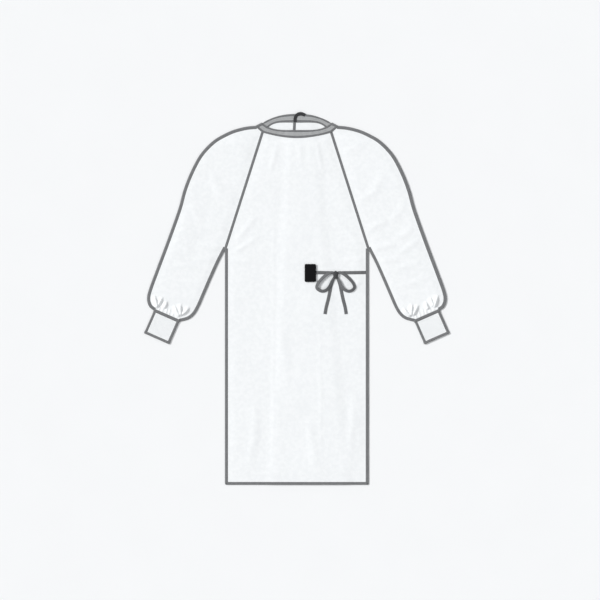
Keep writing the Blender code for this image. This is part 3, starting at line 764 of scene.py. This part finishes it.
def band_rungs():
    """Rungs of the whole strip, from its outer end at the back round the front to its inner end."""
    neck = SHOULDER_SEAM[0]
    half_turn = np.radians(np.linspace(-90, 90, 13))
    outer_x = np.linspace(LAP_OUTER_NECK, -neck + 1, 110)
    front_x = np.linspace(-neck + 1, neck - 1, 180)
    inner_x = np.linspace(neck - 1, LAP_INNER_NECK, 110)
    lifted = BAND_LIFT * smooth(np.abs(front_x), LIFT_FROM, LIFT_TO)
    over_lap = BAND_OVER_LAP * (1 - smooth(inner_x, LAP_OUTER_NECK, LAP_OUTER_NECK + LAP_SLOPE))
    return [np.concatenate(rows) for rows in zip(
        lying_rungs(outer_x, 0.0 * outer_x, False),
        turning_rungs(-1, half_turn),
        lying_rungs(front_x, front_foot(front_x, front_seam_y(front_x)) + lifted, True),
        turning_rungs(1, half_turn[::-1]),
        lying_rungs(inner_x, over_lap, False))]


SEAMS, FREES, OUTSIDES, INSIDES, LEANS = band_rungs()
BAND_RUN = run_of((SEAMS + FREES) / 2)


def cut_grid(length, girth):
    """Cut coordinates of a grid from the length run at each row and the girth at each column."""
    return np.dstack(np.meshgrid(length, girth, indexing="ij"))


def band_strip(start, end, extra, columns, round_off):
    """Part of the binding from one share of its width to another, thicker by extra on each face.

    The thickness falls away at both edges by a power of the distance from the middle.
    """
    share = np.linspace(start, end, columns)
    across = np.abs(2 * np.linspace(0, 1, columns) - 1) ** 6
    plan = SEAMS[:, None] + share[:, None] * (FREES - SEAMS)[:, None]
    rise = np.sign(OUTSIDES - INSIDES)[:, None]
    pucker = 0.10 * np.sin(BAND_RUN / 3.1)[:, None] * (1 - across)
    outside = OUTSIDES[:, None] + rise * (extra - round_off * across + pucker * (rise > 0))
    inside = INSIDES[:, None] - rise * (extra - round_off * across)
    outer = raised(plan + LEANS[:, None, :2], outside)
    inner = raised(plan + LEANS[:, None, 2:], inside)
    return wall(outer, inner, cut_grid(BAND_RUN, share * BAND_CUT))


BINDING_SHADE = 0.47
binding = lay("neck_binding_cloth", [band_strip(0.05, 0.95, 0.0, 15, 0.25)],
              cloth_finish("pale_grey_nonwoven", BINDING_SHADE), "neck_binding")

# Seam tapes and their stitches
# Every seam and raw edge is covered by a narrow grey tape, sewn with two rows of grey thread: this
# is the line that the drawing shows. On an edge the tape is wrapped round it.
TAPE_WIDTH, TAPE_STEP = 8.4, 10.0
TAPE, TAPE_CLEAR = 0.34, 0.02
STITCH, STITCH_PITCH, THREAD = 2.6, 3.5, 0.27
STITCH_ROW, STITCH_RISE = 2.6, 0.05
BEAD = np.array([  # share of the stitch's length, girth and dip of each ring of a bead of thread
    (-0.5, 0.45, -0.30), (-0.3, 1.0, 0.0), (0.3, 1.0, 0.0), (0.5, 0.45, -0.30),
])
UP = np.array([0.0, 0.0, 1.0])


def woven_finish(name, dark, light, pitch):
    """Woven tape: a fine twill on the piece's own length and width."""
    finish = Finish(name, 0.85, sheen=0.2, specular=0.25)
    u, v = finish.grain()
    twill = (u + v).wave(pitch) * 0.5 + 0.5
    weft = (u - v * 0.5).wave(pitch * 0.62) * 0.5 + 0.5
    wear = finish.noise(160.0, 3.0).step(0.35, 0.75)
    finish.colour(finish.mix(twill * 0.55 + wear * 0.35, dark, light))
    finish.relief(twill * 0.6 + weft * 0.4, 0.00025, 0.7)
    return finish.material


SEAM_TAPE = woven_finish("seam_tape", (0.152, 0.155, 0.159, 1), (0.242, 0.245, 0.250, 1), 0.9)
SEAM_THREAD = woven_finish("seam_thread", (0.085, 0.087, 0.090, 1), (0.14, 0.143, 0.148, 1), 0.5)


def tangents(path):
    """Unit directions along a path."""
    step = np.gradient(path, axis=0)
    return step / np.linalg.norm(step, axis=1, keepdims=True)


def left_of(path):
    """Unit directions to the left of a plan path."""
    ahead = tangents(path)
    return np.column_stack([-ahead[:, 1], ahead[:, 0]])


def resampled(path, spacing):
    """The same path at even steps of about the spacing."""
    run = run_of(path)
    return at_run(np.linspace(0, run[-1], max(2, int(round(run[-1] / spacing)) + 1)), run, path)


def thread(path, up=UP):
    """Row of stitches along a 3-D path: one small bead of thread for each, set in its own frame.

    Stitches below the cloth are pressed flat on the surface.
    """
    run = run_of(path)
    middles = np.arange(STITCH_PITCH / 2, run[-1], STITCH_PITCH)
    where, ahead = at_run(middles, run, path), at_run(middles, run, tangents(path))
    turn = np.arange(4) * np.pi / 2
    share, girth, dip = BEAD.T
    length = np.repeat(share * STITCH, 4)
    wide = np.outer(girth * THREAD, np.cos(turn)).ravel()
    high = (np.outer(girth * THREAD, np.sin(turn)) + dip[:, None]).ravel()
    points = (where[:, None] + length[:, None] * ahead[:, None]
              + wide[:, None] * np.cross(up, ahead)[:, None] + high[:, None] * up)
    points[..., 2] = np.maximum(points[..., 2], SURFACE)
    ring = np.arange(points.shape[1]).reshape(-1, 4)
    bead = np.concatenate([cells(np.hstack([ring, ring[:, :1]])), ring[:1, ::-1], ring[-1:]])
    starts = points.shape[1] * np.arange(len(middles))[:, None, None]
    quads = (outward(points[0], bead) + starts).reshape(-1, 4)
    return points.reshape(-1, 3), quads, np.tile(np.column_stack([length, wide]), (len(middles), 1))


def stitch_line(plan, height, facing=1):
    """Row of stitches on a tape, along a plan line over the height of its cloth."""
    return thread(np.column_stack([plan, height + facing * (TAPE + STITCH_RISE)]), facing * UP)


def flat_tape(path, height, facing=1):
    """Tape laid flat at a height along a plan path, thin at both edges; facing -1 puts it below.

    Returns the tape and its two rows of stitches.
    """
    across = left_of(path)
    offset = np.linspace(-TAPE_WIDTH / 2, TAPE_WIDTH / 2, 9)
    plan = path[:, None] + offset[:, None] * across[:, None]
    crown = TAPE * (1 - 0.85 * np.abs(offset / offset[-1]) ** 5)
    made = wall(raised(plan, height + facing * crown), raised(plan, height + facing * TAPE_CLEAR),
                cut_grid(run_of(path), offset))
    heights = np.full(len(path), height)
    rows = [stitch_line(path + reach * across, heights, facing) for reach in (-STITCH_ROW, STITCH_ROW)]
    return made, rows


def edge_tape(path, inward, top, bottom, width=6.6, over=1.8, rows_at=(1.4, 5.0)):
    """Tape wrapped round an edge: along the top, half round, and back below.

    path is the line where the rounding ends; top(plan) gives the cloth's height over plan points
    and bottom is its underside. The tape's fold stands clear of the cloth by over.
    """
    leaf = np.array([1.0, 0.96, 0.85, 0.68, 0.5, 0.32, 0.15, 0.02]) * width
    angle = np.radians(np.linspace(90, -90, 9))
    upper = path[:, None] + leaf[:, None] * inward[:, None]
    rise = top(upper)
    low = np.broadcast_to(np.asarray(bottom, float), len(path))[:, None]
    crown = rise[:, -1:]
    grids = []
    for thick in (TAPE, TAPE_CLEAR):
        thin = thick * (1 - 0.8 * (leaf / width) ** 8)
        radius = (crown - low) / 2 + thick
        bend = path[:, None] - (over + radius * np.cos(angle))[..., None] * inward[:, None]
        grids.append(np.concatenate([
            raised(upper, rise + thin),
            raised(bend, (crown + low) / 2 + radius * np.sin(angle)),
            raised(upper[:, ::-1], low - thin[::-1])], axis=1))
    made = wall(*grids, cut_grid(run_of(path), np.arange(grids[0].shape[1]) * 0.9))
    lines = [path + reach * inward for reach in rows_at]
    return made, [stitch_line(line, top(line[:, None])[:, 0]) for line in lines]


def level(height):
    """Cloth of the same height at every distance from its edge."""
    height = np.asarray(height, float)
    return lambda plan: np.broadcast_to(height.reshape(-1, 1), plan.shape[:2])


def sleeve_level(side):
    """Top of the sleeve's cloth over plan points on its own side."""
    return lambda plan: sleeve_under(plan * (side, 1), side) + CLOTH_TOP - CLOTH_FOOT


def inward_of(path, towards):
    """Unit normals of a plan path that point to the side of a given point."""
    normal, middle = left_of(path), len(path) // 2
    return normal * np.sign(normal[middle] @ (np.asarray(towards) - path[middle]))


def straight(first, second, spacing=TAPE_STEP):
    """Points along a straight line."""
    return resampled(np.array([first, second], float), spacing)


tapes, stitches = {}, {}


def keep(group, made):
    """Files a tape and its stitches under a group's name."""
    tapes.setdefault(group, []).append(made[0])
    stitches.setdefault(group, []).extend(made[1])


def edge_cloth(group, first, second, towards, foot, thick=CLOTH_TOP):
    """Tapes a straight edge of cloth on a floor height, whose top is so thick above that floor."""
    line = straight(first, second)
    low = foot(line[:, 0], line[:, 1])
    keep(group, edge_tape(line, inward_of(line, towards), level(low + thick), low + CLOTH_FOOT))


def edge_sleeve(path, towards, side, inset, over):
    """Tapes a curved edge of the sleeve on one side; the path is drawn on the sleeve at +X."""
    inward = inward_of(path, towards)
    mirror = (side, 1)
    keep("sleeve", edge_tape(
        (path + inset * inward) * mirror, inward * mirror, sleeve_level(side), CLOTH_FOOT, over=over))


TOP_CLOTH = LAYER + CLOTH_TOP
EDGE_RADIUS = (TOP_CLOTH - CLOTH_FOOT) / 2
PAST_ARMPIT = 1.014
EDGE_OVER, FOLD_OVER = 1.8, 2.0
for _, side in HANDS:
    mirror = (side, 1)
    side_seam = side * (HALF_WIDTH - EDGE_RADIUS)
    edge_cloth("side", (side_seam, HEM_Y), (side_seam, ARMPIT_Y - 2), (0, 0), on_surface, TOP_CLOTH)
    front_end = FRONT_CORNER + PAST_ARMPIT * (ARMPIT - FRONT_CORNER)
    keep("raglan", flat_tape(straight(FRONT_CORNER * mirror, front_end * mirror), TOP_CLOTH + 0.1))
    keep("raglan", flat_tape(straight(BACK_CORNER * mirror, ARMPIT * mirror), CLOTH_FOOT, facing=-1))
    underarm = resampled(FRONT_EDGE[UPPER_RUNGS - 1:], 2.6)
    edge_sleeve(underarm, (400, 120), side, EDGE_RADIUS, EDGE_OVER)
    edge_sleeve(resampled(OUTER_EDGE, 3.6), (200, 200), side, FOLD_MIDDLE, FOLD_OVER)

HEM_LINE = HEM_Y + 0.3
for first_x, last_x, foot in (
    (-HALF_WIDTH, HALF_WIDTH, front_foot),
    (-HALF_WIDTH + 1, LAP_OUTER_HEM, on_surface),
    (LAP_INNER_HEM, HALF_WIDTH - 1, inner_foot),
):
    edge_cloth("hem", (first_x, HEM_LINE), (last_x, HEM_LINE), (0, 0), foot)
for free_x, towards, foot in ((outer_free_x, (-200, 0), on_surface), (inner_free_x, (200, 0), inner_foot)):
    edge_cloth("lap", (free_x(HEM_Y), HEM_Y), (free_x(BACK_SEAM_Y), BACK_SEAM_Y), towards, foot)

CUFF_SEAM_TAPE = [  # distance along the cuff and thickness
    (-4.8, 0.0), (-4.0, TAPE), (4.6, TAPE), (5.4, -0.5),
]
CUFF_END_TAPE = [  # distance past the cuff's end and thickness
    (-6.6, 0.0), (-6.0, TAPE), (-1.0, TAPE), (0.4, TAPE), (1.3, TAPE * 0.8), (1.7, 0.1),
]
SEAM_TAPE_LIFT, END_TAPE_LIFT = 0.8, 0.3
CUFF_STITCHES = [  # distance along the cuff and lift
    (-2.0, SEAM_TAPE_LIFT), (3.0, SEAM_TAPE_LIFT),
    (CUFF_LENGTH - 4.6, END_TAPE_LIFT), (CUFF_LENGTH - 0.4, END_TAPE_LIFT),
]
TAPE_POINTS = 200
CUFF_TOP_POINTS = slice(54, 146)


def cuff_tape(rows, side, lift):
    """Tape round the whole flattened cuff through rows along it; past the cuff's end it draws in."""
    outer, inner, grain = [], [], []
    for row, thick in rows:
        width = CUFF_WIDTH + 1.6 - 0.9 * max(0.0, row - CUFF_LENGTH + 1)
        section, normal, run = tube_section(width, 2 * FOLD_RADIUS, TAPE_POINTS)
        outer.append(cuff_place(section + normal * (lift + thick), row, side))
        inner.append(cuff_place(section - normal * 0.3, row, side))
        grain.append(np.column_stack([run, np.full(TAPE_POINTS, row)]))
    return wall(np.array(outer), np.array(inner), np.array(grain), tube=True)


for _, side in HANDS:
    end_rows = [(CUFF_LENGTH + past, thick) for past, thick in CUFF_END_TAPE]
    section, normal, _ = tube_section(CUFF_WIDTH - 2.0, 2 * FOLD_RADIUS, TAPE_POINTS)
    rows = [thread(cuff_place(section + normal * (TAPE + lift + 0.1), row, side)[CUFF_TOP_POINTS])
            for row, lift in CUFF_STITCHES]
    keep("cuff", (cuff_tape(CUFF_SEAM_TAPE, side, SEAM_TAPE_LIFT), rows))
    keep("cuff", (cuff_tape(end_rows, side, END_TAPE_LIFT), []))
    for end in (-1, 1):
        start = CUFF_SEAM_MIDDLE + end * (CUFF_WIDTH / 2 - FOLD_MIDDLE - 0.4) * CUFF_ACROSS
        line = straight(start - 3.0 * CUFF_AXIS, start + (CUFF_LENGTH - 3) * CUFF_AXIS, 3.0) * (side, 1)
        inward = inward_of(line, CUFF_SEAM_MIDDLE * (side, 1))
        keep("cuff", edge_tape(line, inward, level(FOLD_MIDDLE + FOLD_RADIUS), CLOTH_FOOT,
                               width=5.0, over=1.2, rows_at=(1.0, 3.8)))

NECK_TAPE_LIFT, NECK_TAPE_ROUND = 0.3, 0.55
NECK_STITCHES = [  # share of the binding's width and lift, of each row
    (-0.10, 0.38), (0.10, 0.38), (0.36, 0.1), (0.54, 0.1), (0.80, 0.38), (0.97, 0.38),
]
for start, end in ((-0.20, 0.20), (0.70, 1.06)):
    keep("neck", (band_strip(start, end, NECK_TAPE_LIFT, 9, NECK_TAPE_ROUND), []))
for _, side in HANDS:
    line = straight(SHOULDER_SEAM * (side, 1), SHOULDER_FREE * (side, 1), 2.0)
    top = level(BAND_FOLD_MIDDLE + BAND_FOLD_RADIUS + NECK_TAPE_LIFT)
    keep("neck", edge_tape(line, inward_of(line, (0, 500)), top, TAPE + SURFACE,
                           width=5.0, over=1.0, rows_at=(1.6, 4.0)))
lying = np.abs(LEANS).sum(axis=1) < 0.01
stretches = np.split(np.arange(len(lying)), np.flatnonzero(np.diff(lying.astype(int))) + 1)
for share, lift in NECK_STITCHES:
    path = np.column_stack([SEAMS + share * (FREES - SEAMS), np.maximum(OUTSIDES, INSIDES) + lift])
    stitches["neck"] += [thread(path[rows]) for rows in stretches if lying[rows[0]]]

trims = {}
for group, parts in tapes.items():
    trims[group] = [lay(group + "_tape", parts, SEAM_TAPE, sharp=60.0),
                    lay(group + "_stitches", stitches[group], SEAM_THREAD, sharp=80.0)]

# Neck tab
# A short dark strap that lies on the binding's inner end. It goes up over the binding's free edge
# and bends to one side there, as a hook.
TAB_WIDTH, TAB = 10.2, 0.9
TAB_FOOT = 4.4
TAB_PATH = [  # x, y
    (-5.5, 562), (-5.5, 574), (-1.5, 583), (7, 588.5), (17, 588.5), (26, 583.5),
]
TAB_TAPE = woven_finish("tab_tape", (0.022, 0.022, 0.024, 1), (0.055, 0.056, 0.059, 1), 1.3)


def tape(name, node, material, path, base, width, thickness, tilt=np.zeros_like):
    """Piece of soft tape along a smooth plan path, its low edge on base(x, y), and its length.

    width and tilt are functions of the share of the length; tilt turns the right-hand edge up.
    """
    length = run_of(along(path, np.linspace(0, 1, 200)))[-1]
    shares = np.linspace(0, 1, int(length / 1.6))
    middle = along(path, shares)
    across = left_of(middle)[:, None]
    angle, wide = tilt(shares)[:, None], width(shares)[:, None]
    sideways = np.linspace(-1, 1, 13)
    reach = wide / 2 * sideways
    plan = middle[:, None] + (reach * np.cos(angle))[..., None] * across
    foot = base(plan[..., 0], plan[..., 1]) + (wide / 2 - reach) * np.sin(angle)
    selvedge = thickness * (1 - 0.45 * sideways ** 8)
    lean = (selvedge * np.sin(angle))[..., None] * across
    grain = np.dstack([np.broadcast_to((shares * length)[:, None], reach.shape), reach])
    made = wall(raised(plan + lean, foot + selvedge * np.cos(angle)), raised(plan, foot), grain)
    return lay(name, [made], material, node, 60.0), length


tab, tab_length = tape(
    "neck_tab_tape", "neck_tab", TAB_TAPE, TAB_PATH, lambda x, y: np.full_like(x, TAB_FOOT),
    lambda shares: np.full_like(shares, TAB_WIDTH), TAB)

# Card, belt and front tie
# The belt is sewn in at the left side seam. The tie that meets it comes out of a black folded card
# on the front, which keeps its end.
CARD_X, CARD_Y = 25.0, 51.0
CARD_WIDTH, CARD_LENGTH, CARD_LEAF, CARD_HOLLOW = 36.5, 57.0, 0.8, 2.2
CARD_CORNER = 5.0
CARD_GRIP, CARD_MIDDLE = 16.0, 17.0
TIE_WIDTH, TIE, TIE_Y = 10.5, 1.2, 81.0
KNOT = np.array([124.0, 72.0])
KNOT_HALF = np.array([7.5, 12.5, 4.6])
REST_GAP, TIE_GAP = 0.12, 0.4
BELT_DIP, BELT_DIP_FROM, BELT_DIP_TO = 1.8, 8.5, 5.0
TIE_TAPE = woven_finish("tie_tape", (0.105, 0.107, 0.111, 1), (0.195, 0.198, 0.203, 1), 1.3)


def card_finish():
    """Matt black card: a paper grain and rubbed patches scattered at random."""
    finish = Finish("black_card", 0.6, specular=0.1)
    paper = finish.noise(700.0, 4.0)
    rub = finish.noise(60.0, 4.0).step(0.62, 0.85)
    worn = rub * 0.25 + paper * 0.1
    finish.colour(finish.mix(worn, (0.004, 0.004, 0.0045, 1), (0.022, 0.022, 0.023, 1)))
    finish.roughness(0.62 + paper * 0.2)
    finish.relief(paper, 0.0002, 0.4)
    return finish.material


def card(base):
    """Card folded at its left edge: a leaf above, a round fold and a leaf below, corners rounded."""
    radius = CARD_LEAF + CARD_HOLLOW / 2
    corner_rows = [0.0, 0.15, 0.5, 1.1, 2.0, 3.2]
    share = np.concatenate([corner_rows, np.linspace(CARD_CORNER, CARD_LENGTH / 2, 6)])
    rows = np.concatenate([share, (CARD_LENGTH - share[::-1])[1:]])
    near = np.minimum(np.minimum(rows, CARD_LENGTH - rows), CARD_CORNER)
    cut = CARD_CORNER - np.sqrt(CARD_CORNER ** 2 - (CARD_CORNER - near) ** 2)
    fold_x = (CARD_X + radius + cut * 0.6)[:, None]
    end_x = (CARD_X + CARD_WIDTH - cut)[:, None]
    columns = np.linspace(1, 0, 14)
    x = fold_x + columns * (end_x - fold_x)
    y = (CARD_Y + rows)[:, None]
    plan = np.dstack([x, np.broadcast_to(y, x.shape)])
    bulge = 0.5 * np.sin(np.pi * rows / CARD_LENGTH)[:, None] * columns
    angle = np.radians(np.linspace(80, -80, 11))
    grids = []
    for size, top, low in ((radius, CARD_LEAF, 0.0), (radius - CARD_LEAF, 0.0, CARD_LEAF)):
        bend_x = fold_x - size * np.cos(angle)
        bend = np.dstack([bend_x, np.broadcast_to(y, bend_x.shape)])
        grids.append(np.concatenate([
            raised(plan, base + CARD_LEAF + CARD_HOLLOW + top + bulge),
            raised(bend, base + radius + size * np.sin(angle)),
            raised(plan[:, ::-1], base + low)], axis=1))
    return wall(grids[0], grids[1], grids[0][..., :2])


def rest(x, y):
    """Height at which a tie rests on the front panel."""
    return front_top(x, y) + REST_GAP


under_card_x = np.repeat([CARD_X, CARD_X + CARD_MIDDLE, CARD_X + CARD_WIDTH], 7)
under_card_y = np.tile(np.linspace(CARD_Y, CARD_Y + CARD_LENGTH, 7), 3)
CARD_BASE = float(np.max(rest(under_card_x, under_card_y)))
card_piece = lay("card_leaves", [card(CARD_BASE)], card_finish(), "belt_card", 45.0)


def tie_rest(x, y):
    """The tie rests on the front and rises into the card."""
    into_card = 1 - smooth(x, CARD_X + CARD_WIDTH - 2, CARD_X + CARD_WIDTH + 22)
    return rest(x, y) * (1 - into_card) + (CARD_BASE + CARD_LEAF + 0.3) * into_card


def drawn_in(from_knot, least, reach):
    """Width of a tie at a share of its length from the knot, where it has a least share of it."""
    return TIE_WIDTH * (least + (1 - least) * smooth(from_knot, 0, reach))


def tie_width(shares):
    """The belt and the tie run to the knot with their last fifth drawn in."""
    return drawn_in(1 - shares, 0.7, 0.2)


def belt_rest(x, y):
    """The belt rests on the front and dips into the side seam, under its tape."""
    return rest(x, y) - BELT_DIP * smooth(x, HALF_WIDTH - BELT_DIP_FROM, HALF_WIDTH - BELT_DIP_TO)


for_belt = [(HALF_WIDTH - 2.2, TIE_Y), (KNOT[0] + KNOT_HALF[0] - 1, TIE_Y - 1)]
belt, belt_length = tape("belt_tape", "belt_left", TIE_TAPE, for_belt, belt_rest, tie_width, TIE)
for_tie = [(CARD_X + CARD_WIDTH - CARD_GRIP, TIE_Y), (KNOT[0] - KNOT_HALF[0] + 1, TIE_Y - 1)]
tie, tie_length = tape("front_tie_tape", "tie_front", TIE_TAPE, for_tie, tie_rest, tie_width, TIE)

# Bow
# The two ties are tied in a bow: a tight knot, two loops whose edges stand up a little, and two free
# ends that lie down the front.
LOOP = [  # x, y from the middle of the knot, for the loop at +X
    (1, 7), (14, 9), (29, 2), (46, -13), (58, -29), (59, -42), (45, -50.5), (30, -47), (19, -35),
    (11.5, -20), (5, -8), (1.5, 1),
]
TAIL = [  # x, y from the middle of the knot, for the end at +X
    (2.5, 0), (5, -8), (8.5, -16), (14, -30), (18.5, -52), (24, -78), (30, -101), (34, -124),
]
LOOP_TILT_KNOT, LOOP_TILT_FAR = np.radians(10.0), np.radians(28.0)
INTO_KNOT = 0.66
KNOT_MIDDLE_Y = 73.5
KNOT_ENDS, KNOT_GIRTH = 3.2, 2.7
GROOVE, GROOVE_AT, GROOVE_REACH = 0.14, 0.62, 0.13


def loop_tilt(shares):
    """Flat at the knot, turned up most at the far end."""
    return LOOP_TILT_KNOT + (LOOP_TILT_FAR - LOOP_TILT_KNOT) * np.sin(np.pi * shares) ** 0.8


def loop_width(shares):
    """Drawn in where it enters the knot."""
    return drawn_in(np.minimum(shares, 1 - shares), INTO_KNOT, 0.14)


def tail_width(shares):
    """Drawn in at the knot, full at the free end."""
    return drawn_in(shares, INTO_KNOT, 0.25)


def over_ties(x, y):
    """Loops lie one tie above the front."""
    return rest(x, y) + TIE + TIE_GAP


def knot(base):
    """Knot: a rounded block whose girth is raised into folds that run round it.

    Across its width x the section in y and z is a superellipse that shrinks to both ends.
    """
    around = np.linspace(0, 2 * np.pi, 96, endpoint=False)
    width = np.linspace(-1, 1, 49)[:, None]
    shrink = np.maximum(np.maximum(1 - np.abs(width) ** KNOT_ENDS, 0) ** 0.5, 0.02)
    groove = GROOVE * np.exp(-((np.abs(width) - GROOVE_AT) / GROOVE_REACH) ** 2)
    waist = shrink * (1 - groove + 0.03 * np.sin(width * 9 + 1) * np.cos(around))
    y, z = (np.sign(turn) * np.abs(turn) ** (2 / KNOT_GIRTH) for turn in (np.cos(around), np.sin(around)))
    x = KNOT[0] + KNOT_HALF[0] * np.broadcast_to(width, waist.shape) + 0.6 * np.sin(around * 2)
    middle = np.array([0.0, KNOT_MIDDLE_Y, base + KNOT_HALF[2]])
    grid = np.dstack([x, middle[1] + KNOT_HALF[1] * waist * y, middle[2] + KNOT_HALF[2] * waist * z])
    core = middle + (grid - middle) * (1.0, 0.2, 0.2)
    return wall(grid, core, cut_grid(width[:, 0] * 7, around * 8)[..., ::-1], tube=True)


# The knot is tied from the same tape as the ties, but its tape is darker: painted shade of the tight knot.
KNOT_PAINTED_SHADE_TAPE = woven_finish("knot_painted_shade_tape", (0.035, 0.036, 0.038, 1), (0.085, 0.087, 0.090, 1), 1.3)
KNOT_BASE = float(rest(KNOT[0] - 7, KNOT[1]))
knot_piece = lay("bow_knot_tape", [knot(KNOT_BASE)], KNOT_PAINTED_SHADE_TAPE, "bow_knot", 80.0)
bow = []
for hand, side in HANDS:
    place = [tuple(KNOT + (side * x, y)) for x, y in LOOP][::side]
    bow.append(tape("bow_loop_tape_" + hand, "bow_loop_" + hand, TIE_TAPE, place,
                    over_ties, loop_width, TIE, loop_tilt))
    place = [tuple(KNOT + (side * x, y)) for x, y in TAIL]
    bow.append(tape("bow_end_tape_" + hand, "bow_tail_" + hand, TIE_TAPE, place, rest, tail_width, TIE))

# Cut sizes
# Each cloth's flat size, the trims sewn on it and what it rests on are passed to cloth(), which records
# nothing.
# A tube's width counts both its sides, and a panel's area comes from its widths.
SLEEVE_CUT, SLEEVE_AREA = (420.0, 680.0), 0.215


def panel_area(hem, armpit, neck):
    """Square metres of a panel from its widths at hem, armpit and neck, straight between them."""
    below, above = ARMPIT_Y - HEM_Y, FRONT_CORNER[1] - ARMPIT_Y
    return 0.5 * ((hem + armpit) * below + (armpit + neck) * above) * MM ** 2


def cloth(piece, width, length, held="laid", **said):
    """Takes a cloth's flat width and length in millimetres and records nothing; the length is not used."""
    width * MM


BACK_LENGTH = BACK_SEAM_Y - HEM_Y
cloth(front, 2 * HALF_WIDTH, FRONT_CORNER[1] - HEM_Y, rests_on=[back_outer, back_inner],
      area=panel_area(2 * HALF_WIDTH, 2 * HALF_WIDTH, 2 * FRONT_RAGLAN_X),
      with_pieces=trims["side"] + trims["hem"])
widths = np.array([HALF_WIDTH, HALF_WIDTH, BACK_RAGLAN_X])
outer = widths + (LAP_OUTER_HEM, outer_free_x(ARMPIT_Y), LAP_OUTER_NECK)
cloth(back_outer, outer[0], BACK_LENGTH, area=panel_area(*outer), with_pieces=trims["lap"])
inner = widths - (LAP_INNER_HEM, inner_free_x(ARMPIT_Y), LAP_INNER_NECK)
cloth(back_inner, inner[0], BACK_LENGTH, area=panel_area(*inner), rests_on=[back_outer])
cloth(sleeves[0], *SLEEVE_CUT, held="gathered", area=SLEEVE_AREA, with_pieces=trims["raglan"])
cloth(sleeves[1], *SLEEVE_CUT, held="gathered", area=SLEEVE_AREA, with_pieces=trims["sleeve"])
cloth(cuffs[0], 2 * CUFF_WIDTH, CUFF_LENGTH, with_pieces=trims["cuff"])
cloth(cuffs[1], 2 * CUFF_WIDTH, CUFF_LENGTH)
cloth(binding, BAND_CUT, BAND_RUN[-1], held="folded", with_pieces=trims["neck"])
cloth(tab, TAB_WIDTH, tab_length)
cloth(belt, TIE_WIDTH, belt_length, rests_on=[front], with_pieces=[knot_piece])
cloth(tie, TIE_WIDTH, tie_length, rests_on=[front, card_piece])
for piece, length in bow:
    cloth(piece, TIE_WIDTH, length, held="folded", rests_on=[front])
